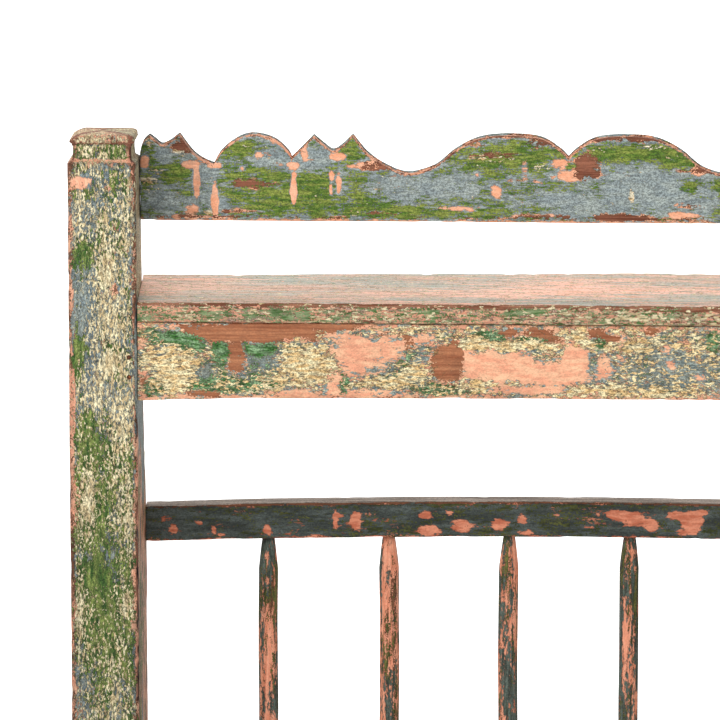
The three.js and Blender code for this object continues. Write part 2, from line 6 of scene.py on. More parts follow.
import bpy
import numpy as np
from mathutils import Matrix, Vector


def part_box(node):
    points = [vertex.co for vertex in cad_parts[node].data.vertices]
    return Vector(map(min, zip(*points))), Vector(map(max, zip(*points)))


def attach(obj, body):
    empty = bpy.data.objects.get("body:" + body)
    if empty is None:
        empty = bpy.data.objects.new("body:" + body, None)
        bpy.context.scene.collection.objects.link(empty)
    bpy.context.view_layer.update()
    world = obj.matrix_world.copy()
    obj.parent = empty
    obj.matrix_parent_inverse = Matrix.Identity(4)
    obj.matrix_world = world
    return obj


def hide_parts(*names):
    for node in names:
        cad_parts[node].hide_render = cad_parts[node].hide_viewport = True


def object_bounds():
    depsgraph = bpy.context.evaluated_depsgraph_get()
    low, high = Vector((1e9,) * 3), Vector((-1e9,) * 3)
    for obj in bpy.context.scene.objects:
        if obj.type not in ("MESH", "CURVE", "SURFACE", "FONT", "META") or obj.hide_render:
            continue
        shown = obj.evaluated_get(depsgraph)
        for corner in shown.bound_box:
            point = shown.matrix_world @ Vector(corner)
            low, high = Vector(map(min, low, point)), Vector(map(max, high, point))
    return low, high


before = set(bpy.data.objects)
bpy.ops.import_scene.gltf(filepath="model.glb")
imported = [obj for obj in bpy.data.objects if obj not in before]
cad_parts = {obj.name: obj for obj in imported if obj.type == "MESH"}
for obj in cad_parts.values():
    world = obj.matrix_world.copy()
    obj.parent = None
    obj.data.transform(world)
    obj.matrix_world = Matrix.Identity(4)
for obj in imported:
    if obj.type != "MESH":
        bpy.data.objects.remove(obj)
cad_low, cad_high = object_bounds()


# ---------------------------------------------------------------- camera, floor and light
# A long lens stands well back from the pew and looks down on its shelf side from above the crest.
# The floor is a wide white sheet, lit by two soft boxes and a pale world.
BACK_Y = cad_low.y  # the posts' back faces, in metres
CAMERA_X = 0.0461
CAMERA_REACH = 8.23
CAMERA_TILT = np.radians(14.69)
LENS_MM = 447.3
look_at = Vector((-0.1905, BACK_Y, 0.9272))

camera_data = bpy.data.cameras.new("pew_camera")
camera_data.sensor_width = 36
camera_data.lens = LENS_MM
camera_data.clip_end = 100
camera = bpy.data.objects.new("pew_camera", camera_data)
camera.location = (
    CAMERA_X,
    BACK_Y - CAMERA_REACH * np.cos(CAMERA_TILT),
    look_at.z + CAMERA_REACH * np.sin(CAMERA_TILT),
)
camera.rotation_euler = (look_at - camera.location).to_track_quat("-Z", "Y").to_euler()
bpy.context.scene.collection.objects.link(camera)
bpy.context.scene.camera = camera
bpy.context.scene.view_settings.view_transform = "Standard"


def add(tree, kind, inputs=(), **settings):
    """Add a node, set its properties, and fill or link its inputs by name or by place."""
    made = tree.nodes.new(kind)
    for key, value in settings.items():
        setattr(made, key, value)
    for key, value in dict(inputs).items():
        if isinstance(value, bpy.types.NodeSocket):
            tree.links.new(value, made.inputs[key])
        else:
            made.inputs[key].default_value = value
    return made


def colour(hex_value):
    """An sRGB hex colour as linear red, green, blue and alpha."""
    parts = np.array([int(hex_value[i:i + 2], 16) / 255 for i in (1, 3, 5)])
    linear = np.where(parts <= 0.04045, parts / 12.92, ((parts + 0.055) / 1.055) ** 2.4)
    return (*linear.tolist(), 1.0)


world = bpy.data.worlds.new("white_studio")
world.use_nodes = True
world.node_tree.nodes["Background"].inputs["Color"].default_value = (1, 1, 1, 1)
world.node_tree.nodes["Background"].inputs["Strength"].default_value = 0.72
bpy.context.scene.world = world


def area_light(name, width, depth, power, place):
    """A soft box at a place in metres, looking straight down."""
    light = bpy.data.lights.new(name, "AREA")
    light.shape, light.size, light.size_y, light.energy = "RECTANGLE", width, depth, power
    made = bpy.data.objects.new(name, light)
    made.location = place
    bpy.context.scene.collection.objects.link(made)
    return made


soft_box = area_light("soft_box", 4.0, 3.0, 150, (-2.6, BACK_Y - 4.2, 3.6))
towards_pew = Vector((0, BACK_Y, 0.8)) - soft_box.location
soft_box.rotation_euler = towards_pew.to_track_quat("-Z", "Y").to_euler()

# A second soft box hangs over the floor on the seat side, and keeps the ground there white.
area_light("floor_box", 6.0, 5.0, 330, (0, 4.2, 4.0))

FLOOR_HALF = 30.0
floor_mesh = bpy.data.meshes.new("studio_floor")
floor_corners = [(-FLOOR_HALF, -FLOOR_HALF, 0), (FLOOR_HALF, -FLOOR_HALF, 0),
                 (FLOOR_HALF, FLOOR_HALF, 0), (-FLOOR_HALF, FLOOR_HALF, 0)]
floor_mesh.from_pydata(floor_corners, [], [(0, 1, 2, 3)])
studio_floor = bpy.data.objects.new("studio_floor", floor_mesh)
bpy.context.scene.collection.objects.link(studio_floor)
# Matt white painted floor, bright enough to read as a plain pale ground.
floor_paint = bpy.data.materials.new("matt_white_floor")
floor_paint.use_nodes = True
floor_shader = floor_paint.node_tree.nodes["Principled BSDF"]
floor_shader.inputs["Base Color"].default_value = colour("#ffffff")
floor_shader.inputs["Roughness"].default_value = 0.9
floor_shader.inputs["Specular IOR Level"].default_value = 0.1
floor_mesh.materials.append(floor_paint)


# ---------------------------------------------------------------- rear posts and their finials
# Each post is sawn from one thick plank, slender at the head and swelling to full depth where the
# spindle rail meets it. The square finial is carved on its end. Arrises are worn round and dented.
ARC_STEPS = 5  # points round one worn arris
ARRIS_REACH = 2.4  # how fast wear fades away from an arris
JOINT_GAP = 0.3  # air where two pieces meet


def box_mm(node):
    """A node's limits as (low, high) for X, Y and Z, in millimetres."""
    low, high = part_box(node)
    return [(low[i] * 1000, high[i] * 1000) for i in range(3)]


POST_INNER = -box_mm("rear_post_left")[0][1] - JOINT_GAP  # where boards between the posts end


def lumps(points, size, seed):
    """Smooth value noise from -1 to 1: random values at the corners of cells `size` mm wide
    (one width, or one for each axis), blended across each cell by a smoothstep."""
    table = np.random.default_rng(seed).uniform(-1, 1, 4096)
    place = points / np.asarray(size, float)
    cell = np.floor(place).astype(np.int64)
    part = place - cell
    part = part * part * (3 - 2 * part)
    total = np.zeros(len(points))
    for corner in range(8):
        step = np.array([corner & 1, corner >> 1 & 1, corner >> 2 & 1])
        key = ((cell + step) * np.array([73856093, 19349663, 83492791])).sum(1)
        weight = np.where(step, part, 1 - part).prod(1)
        total += weight * table[key & 4095]
    return total


def section(half_a, half_b, pitch):
    """The template of a rectangle with round corners, anticlockwise from the first corner's arc.
    A point is template_half * (half size - radius) + template_arc * radius. Also gives each
    point's outward direction and how far it is along its side (1 at the corners)."""
    counts = [max(3, int(2 * half_a / pitch)), max(3, int(2 * half_b / pitch))]
    rows = []
    for corner, (sign_a, sign_b) in enumerate([(1, 1), (-1, 1), (-1, -1), (1, -1)]):
        angle = (corner + np.linspace(0, 1, ARC_STEPS)) * np.pi / 2
        cos, sin, one = np.cos(angle), np.sin(angle), np.ones(ARC_STEPS)
        rows.append(np.stack([sign_a * one, sign_b * one, cos, sin, cos, sin, one], -1))
        t = np.linspace(1, -1, counts[corner % 2] + 1)[1:-1]
        one, none = np.ones(len(t)), np.zeros(len(t))
        if corner % 2 == 0:
            flat = [sign_a * t, sign_b * one, none, sign_b * one, none, sign_b * one, abs(t)]
        else:
            flat = [sign_a * one, sign_b * t, sign_a * one, none, sign_a * one, none, abs(t)]
        rows.append(np.stack(flat, -1))
    return np.vstack(rows).T


def ring_quads(rings, around):
    """Quads that join each ring of `around` points to the next ring."""
    ring, step = np.meshgrid(np.arange(rings - 1) * around, np.arange(around), indexing="ij")
    after = (step + 1) % around
    corners = [ring + step, ring + after, ring + around + after, ring + around + step]
    return np.stack(corners, -1).reshape(-1, 4)


def swept_bar(axes, along, low_a, high_a, low_b, high_b, arris, pitch=6.0):
    """Rectangles with round corners, carried along one axis. axes names the axis of the run and
    then the two of the section; the limits and the arris radius are one value for each station.
    Returns points, quads and end faces, outward directions, and closeness to an arris."""
    along = np.asarray(along, float)
    limits = [np.broadcast_to(v, along.shape) for v in (low_a, high_a, low_b, high_b)]
    low_a, high_a, low_b, high_b = limits
    half_a, half_b = (high_a - low_a) / 2, (high_b - low_b) / 2
    arris = np.minimum(np.broadcast_to(arris, along.shape), np.minimum(half_a, half_b) * 0.98)
    ta, tb, ra, rb, out_a, out_b, along_side = section(half_a.max(), half_b.max(), pitch)
    a = (low_a + high_a)[:, None] / 2 + ta * (half_a - arris)[:, None] + ra * arris[:, None]
    b = (low_b + high_b)[:, None] / 2 + tb * (half_b - arris)[:, None] + rb * arris[:, None]
    points = np.empty((len(along), len(ta), 3))
    points[:, :, axes[0]] = along[:, None]
    points[:, :, axes[1]] = a
    points[:, :, axes[2]] = b
    outward = np.zeros_like(points)
    outward[:, :, axes[1]] = out_a
    outward[:, :, axes[2]] = out_b
    side_half = np.where(np.abs(out_b) > np.abs(out_a), half_a[:, None], half_b[:, None])
    near = np.exp(-(1 - along_side) * side_half / ARRIS_REACH)
    rings, around = len(along), len(ta)
    quads = ring_quads(rings, around)
    ends = [np.arange(around)[::-1], (rings - 1) * around + np.arange(around)]
    if tuple(axes) not in ((0, 1, 2), (1, 2, 0), (2, 0, 1)):
        quads, ends = quads[:, ::-1], [end[::-1] for end in ends]
    return points.reshape(-1, 3), (quads, ends), outward.reshape(-1, 3), near.reshape(-1)


def worn_ends(first, last, pitch, round_mm):
    """Stations along a run, and how far each section is drawn in so that both ends are rounded:
    a quarter circle of radius round_mm at each end, and even steps between."""
    turn = np.linspace(0, np.pi / 2, 5)
    reach = round_mm * (1 - np.cos(turn))
    inset = round_mm * (1 - np.sin(turn))
    middle = np.linspace(first + round_mm, last - round_mm, max(2, int((last - first) / pitch)))[1:-1]
    stations = np.concatenate([first + round_mm - round_mm * np.cos(turn), middle,
                               (last - round_mm + round_mm * np.cos(turn))[::-1]])
    drawn_in = np.concatenate([inset, np.zeros(len(middle)), inset[::-1]])
    return stations, drawn_in


def handled(points, outward, near, seed, wave=0.35, dents=1.1):
    """Plane marks and knocks: points move along their outward direction by slow waves, and inward
    by `dents` mm where a second noise peaks on an arris."""
    slow = lumps(points, 70, seed) * wave + lumps(points, 18, seed + 1) * wave * 0.35
    knocks = np.clip(lumps(points, 11, seed + 2) - 0.15, 0, 1) * near * dents
    return points + outward * (slow - knocks)[:, None]


def coverage(points, outward, base, wander, seed, patches=(), size=60, facing=(0, -1, 0)):
    """How much of a coat is left, 0 to 1 at each point: a base, slow random wandering, and soft
    ellipses (x, z, half width, half height, amount) on the side that faces `facing`."""
    field = base + wander * lumps(points, size, seed)
    field = field + wander * 0.5 * lumps(points, np.asarray(size) / 3, seed + 7)
    on_face = np.clip(outward @ np.asarray(facing, float) * 4 + 0.5, 0, 1)
    torn = 0
    if patches:
        torn = 0.30 * lumps(points, 9, seed + 21) + 0.22 * lumps(points, (5, 5, 4), seed + 22)
    for x, z, half_x, half_z, amount in patches:
        distance = np.hypot((points[:, 0] - x) / half_x, (points[:, 2] - z) / half_z) + torn
        field = field + amount * on_face / (1 + np.exp((distance - 1) * 7))
    return field


def make_piece(name, points, faces, fields, material, nodes=()):
    """A mesh object in metres from points in millimetres, with one number for each point in each
    field. It rides on the pew's one body and stands for the named nodes."""
    quads, ends = faces
    mesh = bpy.data.meshes.new(name)
    polygons = quads.tolist() + [end.tolist() for end in ends]
    mesh.from_pydata((points / 1000).tolist(), [], polygons)
    mesh.polygons.foreach_set("use_smooth", np.ones(len(mesh.polygons), bool))
    for field, values in fields.items():
        layer = mesh.attributes.new(field, "FLOAT", "POINT")
        layer.data.foreach_set("value", np.asarray(values, np.float32))
    mesh.materials.append(material)
    mesh.update()
    made = bpy.data.objects.new(name, mesh)
    bpy.context.scene.collection.objects.link(made)
    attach(made, "root")
    if nodes:
        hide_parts(*nodes)
    return made


def paint_coat(field, tints, flake, ragged, speckle, **more):
    """One coat for flaked_paint, with the keys that it reads."""
    return dict(more, field=field, tints=tints, flake=flake, ragged=ragged, speckle=speckle)


def flaked_paint(name, grain, wood, coats, wood_scale=(60, 1.6), contrast=0.3, net=0.45,
                 dirt="#3f3f2c", stretch=1.0):
    """Brushed oil paint that has flaked off old wood, coat by coat. Each coat has a field with the
    share that is left, two tints, the length and width of its flakes in millimetres along and
    across the grain (grain is the axis of the run), and how ragged and speckled it is. A coat
    shows where its field plus noise passes one half. A veined coat is left as a net of thin curved
    lines instead of flakes. Dirt lies along the rim of each flake and in a net of fine cracks, and
    the field `soil_and_shade` darkens whole areas: soil, and on some pieces painted shade."""
    made = bpy.data.materials.new(name)
    made.use_nodes = True
    tree = made.node_tree
    shader = tree.nodes["Principled BSDF"]
    place = add(tree, "ShaderNodeTexCoord").outputs["Object"]

    def maths(operation, *values):
        return add(tree, "ShaderNodeMath", dict(enumerate(values)), operation=operation).outputs[0]

    def between(value, low, high, start=0.0, end=1.0):
        return add(tree, "ShaderNodeMapRange", {
            "Value": value, "From Min": low, "From Max": high, "To Min": start, "To Max": end,
        }, interpolation_type="SMOOTHSTEP").outputs[0]

    def noise(size_along, size_across, shift, detail=4.0, rough=0.6, twist=0.0):
        scale = [1000 / size_across] * 3
        scale[grain] = 1000 / size_along
        moved = add(tree, "ShaderNodeMapping", {
            "Vector": place, "Scale": scale, "Location": (shift, shift * 1.7, -shift)})
        return add(tree, "ShaderNodeTexNoise", {
            "Vector": moved.outputs[0], "Scale": 1.0, "Detail": detail, "Roughness": rough,
            "Distortion": twist,
        }).outputs[0]

    def mixed(factor, first, second, blend="MIX"):
        return add(tree, "ShaderNodeMix", {0: factor, 6: first, 7: second},
                   data_type="RGBA", blend_type=blend).outputs[2]

    grain_lines = between(noise(*wood_scale, 3.1, 4.0, 0.65, 0.2), 0.36, 0.64)
    broad_grain = between(noise(wood_scale[0] * 4, wood_scale[1] * 7, 8.4, 2.0), 0.36, 0.64)
    speck = between(noise(4.2 * stretch, 2.1, 5.7, 2.0), 0.33, 0.67)
    crumb = between(noise(1.8 * stretch, 1.3, 9.3, 1.0), 0.33, 0.67)
    crack = maths("ABSOLUTE", maths("SUBTRACT", noise(6.5 * stretch, 2.8, 14.2, 3.0, 0.6, 0.6), 0.5))
    open_crack = between(crack, 0.0, 0.035, 1 - net, 1.0)
    grit = maths("MULTIPLY_ADD", speck, 0.5, maths("MULTIPLY", crumb, 0.5))
    gritty = maths("MULTIPLY", between(grit, 0.15, 0.85, 1 - contrast, 1 + contrast * 0.45), open_crack)
    smooth = between(grit, 0.15, 0.85, 1 - contrast * 0.35, 1 + contrast * 0.15)

    def shaded(tint, amount):
        grey = add(tree, "ShaderNodeCombineColor", {0: amount, 1: amount, 2: amount}).outputs[0]
        return mixed(1.0, tint, grey, "MULTIPLY")

    surface = mixed(maths("MULTIPLY_ADD", grain_lines, 0.65, maths("MULTIPLY", broad_grain, 0.35)),
                    colour(wood[0]), colour(wood[1]))
    surface = shaded(surface, smooth)
    height = maths("MULTIPLY", grain_lines, 0.4)
    for index, coat in enumerate(coats):
        ragged, speckle = coat["ragged"], coat["speckle"]
        soft, rim = coat.get("soft", 0.06), coat.get("rim", 0.5)
        shift = 11.3 * (index + 1)
        pattern = noise(*coat["flake"], shift, coat.get("detail", 4.0), 0.6, coat.get("twist", 0.5))
        if coat.get("veined"):
            off_line = maths("ABSOLUTE", maths("SUBTRACT", pattern, 0.5))
            flakes = between(off_line, 0.0, coat["veined"], 1.0, 0.0)
        else:
            flakes = between(pattern, 0.3, 0.7)
        left = add(tree, "ShaderNodeAttribute", attribute_name=coat["field"]).outputs["Fac"]
        level = maths("MULTIPLY_ADD", flakes, ragged, left)
        level = maths("MULTIPLY_ADD", speck if index % 2 else crumb, speckle, level)
        middle = 0.5 + 0.5 * (ragged + speckle)
        mask = between(level, middle - soft, middle + soft)
        halo = maths("MULTIPLY", between(level, middle - 0.24, middle - 0.04), rim)
        tone = noise(coat["flake"][0] * 1.6, coat["flake"][1], 23.9 + shift, 3.0)
        tint = mixed(between(tone, 0.38, 0.62), colour(coat["tints"][0]), colour(coat["tints"][1]))
        tint = shaded(tint, gritty if index else smooth)
        surface = mixed(mask, mixed(halo, surface, colour(dirt)), tint)
        height = maths("MULTIPLY_ADD", mask, coat.get("thick", 0.7), height)
    soil_and_shade = add(tree, "ShaderNodeAttribute", attribute_name="soil_and_shade").outputs["Fac"]
    patchy = between(noise(22, 9, 31.7, 4.0), 0.36, 0.62, 0.35, 1.0)
    surface = shaded(surface, maths("SUBTRACT", 1.0, maths("MULTIPLY", soil_and_shade, patchy)))
    bump = add(tree, "ShaderNodeBump", {"Height": height, "Strength": 0.5, "Distance": 0.0006})
    tree.links.new(surface, shader.inputs["Base Color"])
    tree.links.new(between(speck, 0.0, 1.0, 0.62, 0.85), shader.inputs["Roughness"])
    tree.links.new(bump.outputs[0], shader.inputs["Normal"])
    shader.inputs["Specular IOR Level"].default_value = 0.2
    return made


# Oil paint on sawn hardwood, weathered outdoors: pink primer, slate grey, leaf green and a last
# cream coat that is mostly specks. It gives the posts an upright, finely crazed mottle.
OLD_WOOD = ("#6e3f2c", "#a3705a")
PRIMER = ("#eba384", "#f5bd9b")
SLATE = ("#7f8d90", "#a2aba3")
GREEN = ("#45682f", "#8b9a52")
CREAM = ("#eee2ba", "#cbb488")
post_paint = flaked_paint("flaked_oil_paint_on_posts", 2, OLD_WOOD, [
    paint_coat("primer", PRIMER, (14, 6), 0.7, 0.4),
    paint_coat("slate", SLATE, (18, 6), 0.6, 0.3),
    paint_coat("green", GREEN, (12, 4), 0.8, 0.45, rim=0.9),
    paint_coat("cream", CREAM, (8, 3.0), 0.7, 0.7, rim=1.0, veined=0.13, twist=0.9, detail=5.0),
], contrast=0.45, net=0.7, dirt="#34351f", stretch=1.1)

HEAD_SLOPE = 0.13
POST_NECK = (930.0, 98.0)  # height and depth where the slender head starts
POST_BODY = (690.0, 150.0)
POST_KNEE_Z = 300.0
POST_FOOT_DEPTH = 108.0
POST_TOP = (1112.0, 76.0)
POST_ARRIS = 2.6
SPLIT_WIDTH = 13.0  # the corner of the finial's cap that has split off
SPLIT_DROP = 5.0


def post_depth(z):
    """Depth at a height: a straight taper to the head, a smoothstep swelling down to the body,
    an even body, and a straight taper to the foot."""
    fall = np.clip((POST_NECK[0] - z) / (POST_NECK[0] - POST_BODY[0]), 0, 1)
    swelling = POST_NECK[1] + (POST_BODY[1] - POST_NECK[1]) * fall * fall * (3 - 2 * fall)
    head = np.interp(z, [POST_NECK[0], POST_TOP[0]], [POST_NECK[1], POST_TOP[1]])
    foot = np.interp(z, [0, POST_KNEE_Z], [POST_FOOT_DEPTH, POST_BODY[1]])
    return np.where(z >= POST_NECK[0], head, np.where(z < POST_KNEE_Z, foot, swelling))


# Going up the finial: height above the shoulder, inset from the post's faces, arris radius.
FINIAL_STEPS = [(-0.8, 0, 2.4), (-0.3, 0.3, 2.4), (0.3, 1.1, 2.4), (1.2, 2.6, 2.2), (1.8, 3.4, 2.0),
                (2.2, 3.9, 2.0), (4.5, 4.2, 2.2), (8.0, 4.5, 2.4), (12.0, 4.6, 2.4), (14.6, 4.3, 2.2),
                (16.2, 3.4, 2.0), (16.8, 4.0, 2.0), (17.4, 3.0, 2.0), (19.2, 1.5, 2.2),
                (19.9, 1.5, 2.4), (20.4, 2.2, 2.4), (21.0, 1.7, 2.6), (23.4, 2.2, 3.2),
                (25.0, 3.2, 4.0), (25.8, 5.0, 5.0),
                (26.2, 8.0, 5.5), (26.6, 14.0, 5.0), (27.0, 21.0, 5.0), (27.1, 28.0, 3.0)]


# Where each coat of the posts has come off or built up: (distance in from the post's low X face,
# height, half width, half height, amount).
POST_PRIMER_SPOTS = [
    (3, 740, 3, 30, -0.7), (26, 700, 5, 30, -0.4),
]
POST_SLATE_SPOTS = [
    (12, 1093, 9, 5, -1.6), (3, 1016, 2.2, 4, -1.4), (2, 1047, 1.8, 6, -1.0), (3, 905, 3.5, 26, -1.0),
    (5, 800, 5, 20, -1.3), (3, 860, 2.6, 26, -0.8), (57, 700, 4, 40, -0.8), (30, 790, 4, 6, -0.7),
    (38, 1089, 3, 3, -0.8), (54, 1030, 2, 8, -0.6), (2.5, 990, 2, 5, -0.9),
]
POST_GREEN_SPOTS = [
    (15, 1022, 8, 14, 0.5), (32, 1046, 5, 15, 0.6), (31, 1005, 4, 14, 0.5), (46, 1040, 5, 30, 0.3),
    (35, 1086, 22, 10, 0.25), (10, 1062, 9, 12, -0.5), (12, 985, 12, 30, -0.55), (12, 1093, 9, 5, -1.2),
    (9, 925, 8, 22, 0.5), (40, 935, 8, 8, 0.7), (46, 912, 5, 12, 0.3), (22, 905, 8, 24, -0.5),
    (40, 885, 16, 14, -0.5), (16, 850, 8, 26, 0.6), (36, 840, 14, 14, 0.3), (20, 770, 13, 40, 0.6),
    (44, 800, 14, 30, 0.3), (30, 690, 26, 40, 0.6),
]
POST_CREAM_SPOTS = [
    (12, 1078, 4, 9, 0.3), (36, 1015, 5, 22, 0.5), (53, 1070, 7, 34, 0.3), (33, 1060, 5, 12, 0.3),
    (12, 1093, 9, 5, -1.2), (10, 985, 11, 40, -0.5), (15, 1022, 8, 14, -0.3), (50, 1000, 9, 30, 0.25),
    (46, 960, 12, 14, 0.4), (38, 922, 9, 10, 0.6), (20, 905, 12, 20, 0.2), (46, 862, 10, 26, 0.5),
    (18, 795, 3.5, 22, 0.9), (46, 770, 12, 26, 0.25), (50, 690, 6, 12, 0.7), (8, 700, 5, 30, 0.3),
    (26, 735, 16, 26, -0.3), (9, 925, 8, 20, -0.3),
]


def post_fields(points, outward, near, low_x, back_y, rise, is_left, sign, seed):
    """What is left of each coat on a post. rise is the height above the finial's shoulder."""
    cap = np.clip((rise - 18.2) / 1.0, 0, 1)
    cap_top = np.clip((rise - 24.6) / 1.2, 0, 1)
    bevel = np.exp(-((rise - 17.8) / 1.5) ** 2)
    ledge = np.exp(-((rise - 1.6) / 1.5) ** 2)
    under_ledge = np.exp(-((rise + 1.2) / 0.8) ** 2)
    neck = np.clip(rise / 4, 0, 1)
    x_in, z = points[:, 0] - low_x, points[:, 2]
    shelf_side = outward[:, 1] < -0.5
    crack = np.exp(-((x_in - 44 - 1.2 * lumps(points, (40, 40, 14), 61)) / 1.1) ** 2) * shelf_side
    crack *= np.clip((z - 985) / 12, 0, 1) * np.clip((1078 - z) / 12, 0, 1)
    knot = np.exp(-((x_in - 42) / 4) ** 2 - ((z - 992) / 6) ** 2) * shelf_side * is_left
    inner = np.clip(outward[:, 0] * -sign, 0, 1)
    arris_core = near ** 3
    bare = (arris_core * 0.45 + cap_top * 0.2 + bevel * 0.8 + crack * 0.55 + knot * 0.3
            + under_ledge * 0.4)
    rubbed = near * 0.12 + knot * 0.8 + 0.25 * near * (rise > 0)
    streak = lumps(points, (60, 34, 130), seed + 31) + 0.6 * lumps(points, (60, 16, 50), seed + 32)
    # Patches of painted shade on the inner side faces.
    inner_shade_patches = np.clip(lumps(points, (60, 24, 90), seed + 33), 0, 1)
    low_down = np.clip((880 - z) / 120, 0, 1)
    head_side = inner * np.clip((z - 960) / 30, 0, 1)
    pink_side = inner * np.clip((745 - z) / 20, 0, 1) * np.clip((points[:, 1] - back_y - 60) / 20, 0, 1)

    def coat(base, wander, step, spots, size=60):
        placed = [(low_x + x, *rest) for x, *rest in spots]
        return coverage(points, outward, base, wander, seed + step, placed, size)

    return {
        "primer": coat(0.98, 0.2, 3, POST_PRIMER_SPOTS) - bare * (1 - 0.4 * inner)
        - inner * (0.35 - 1.6 * streak) - cap * 0.22 + 1.5 * pink_side,
        "slate": coat(0.92, 0.16, 4, POST_SLATE_SPOTS, (16, 16, 70)) - bare - rubbed * 1.2 - ledge * 0.9
        - inner * (0.42 + 2.2 * streak) - cap * 0.5 - 2.0 * pink_side,
        "green": coat(0.36, 0.34, 5, POST_GREEN_SPOTS, (16, 16, 46)) - bare * 0.9 - rubbed - ledge * 0.9
        - inner * (0.35 - 0.8 * streak) + low_down * 0.2 + 0.42 * neck - cap * 1.1,
        "cream": coat(0.28, 0.26, 6, POST_CREAM_SPOTS, (10, 10, 34)) - bare * 0.5 - rubbed * 0.8
        - ledge * 0.1 - cap * 0.02 + cap_top * 0.1 - inner * 0.6 + 0.9 * head_side
        - low_down * 0.06 + 0.1 * neck,
        # Painted shade: this darkening field is raised on the inner side faces, in patches, and on the
        # bevel that faces down under the cap. It also darkens the posts lower down, along the crack, on
        # the arrises and in a band under the shoulder.
        "soil_and_shade": 0.05 + 0.26 * low_down + 0.30 * inner + 0.30 * bevel + 0.2 * crack + 0.45 * under_ledge
        + 0.30 * arris_core * (1 - cap_top) + 0.5 * inner * inner_shade_patches,
    }


def rear_post(side, sign):
    """The post's sections narrow in depth towards its head, and the finial's steps follow on. The
    head then slopes: z falls by HEAD_SLOPE for each millimetre towards the seat side."""
    (low_x, high_x), (back_y, _), _ = box_mm(f"rear_post_{side}")
    stations, drawn_in = worn_ends(0, POST_TOP[0], 5.0, 2.5)
    keep = stations < POST_TOP[0] - 4
    steps = np.array(FINIAL_STEPS)
    z = np.concatenate([stations[keep], POST_TOP[0] + steps[:, 0]])
    inset = np.concatenate([drawn_in[keep], steps[:, 1]])
    arris = np.concatenate([np.full(keep.sum(), POST_ARRIS), steps[:, 2]])
    depth = post_depth(np.minimum(z, POST_TOP[0]))
    points, faces, outward, near = swept_bar(
        (2, 0, 1), z, low_x + inset, high_x - inset, back_y + inset, back_y + depth - inset, arris, 4.5)
    tilt = np.clip((points[:, 2] - 1030) / 70, 0, 1)
    points[:, 2] -= HEAD_SLOPE * (points[:, 1] - back_y) * tilt
    is_left = side == "left"
    seed = 100 if is_left else 300
    points = handled(points, outward, near, seed, 0.3, 2.6 if is_left else 2.0)
    rise = points[:, 2] + HEAD_SLOPE * (points[:, 1] - back_y) - POST_TOP[0]
    split_off = np.clip(1 - (points[:, 0] - low_x) / SPLIT_WIDTH, 0, 1) ** 1.3
    points[:, 2] -= SPLIT_DROP * split_off * np.clip((rise - 19) / 7, 0, 1)
    fields = post_fields(points, outward, near, low_x, back_y, rise, is_left, sign, seed)
    return make_piece(
        f"worn_post_{side}", points, faces, fields, post_paint, [f"rear_post_{side}"])


for side, sign in (("left", -1), ("right", 1)):
    rear_post(side, sign)


# ---------------------------------------------------------------- crest rail
# A thin board sawn to a skyline of horns and lobes, the same on both sides of its middle cusp.
# Slate paint with olive green brushed over it, scraped to pink primer in upright runs.
# Each stretch runs between two sharp points: (distance from the middle, drop below the top).
PATTERN_HALF = 396.0
CREST_END = 395.2  # the shrunken board stands this far out on each side
CREST_STRETCHES = [
    [(396, 17), (393, 8), (387.5, 2.4)],
    [(387.5, 2.4), (382, 6.5), (376, 11), (369, 8.5), (359.6, 1.2)],
    [(359.6, 1.2), (348, 17), (338, 25), (328, 29.3)],
    [(328, 29.3), (320, 16), (304, 4), (289, 0.8), (271, 6), (259, 17), (256, 23)],
    [(256, 23), (246, 13), (235.5, 1.8)],
    [(235.5, 1.8), (226, 10), (217.4, 15.5), (209, 10.5), (199.4, 1.2)],
    [(199.4, 1.2), (185, 18.5), (168, 30), (148.5, 36.5), (124, 30), (104, 14), (82, 3), (56, 0),
     (26.5, 2.5), (8, 13), (0, 21)],
]


def smooth_through(stops, pitch):
    """A Catmull-Rom curve through the stops (each stretch's ends are doubled), about every
    `pitch` mm. Returns its points in order."""
    stops = np.asarray(stops, float)
    padded = np.vstack([2 * stops[0] - stops[1], stops, 2 * stops[-1] - stops[-2]])
    found = []
    for i in range(len(stops) - 1):
        p0, p1, p2, p3 = padded[i:i + 4]
        count = max(2, int(np.hypot(*(p2 - p1)) / pitch))
        t = np.linspace(0, 1, count, endpoint=False)[:, None]
        found.append(0.5 * (2 * p1 + (p2 - p0) * t + (2 * p0 - 5 * p1 + 4 * p2 - p3) * t ** 2
                            + (3 * p1 - p0 - 3 * p2 + p3) * t ** 3))
    return np.vstack(found + [stops[-1:]])


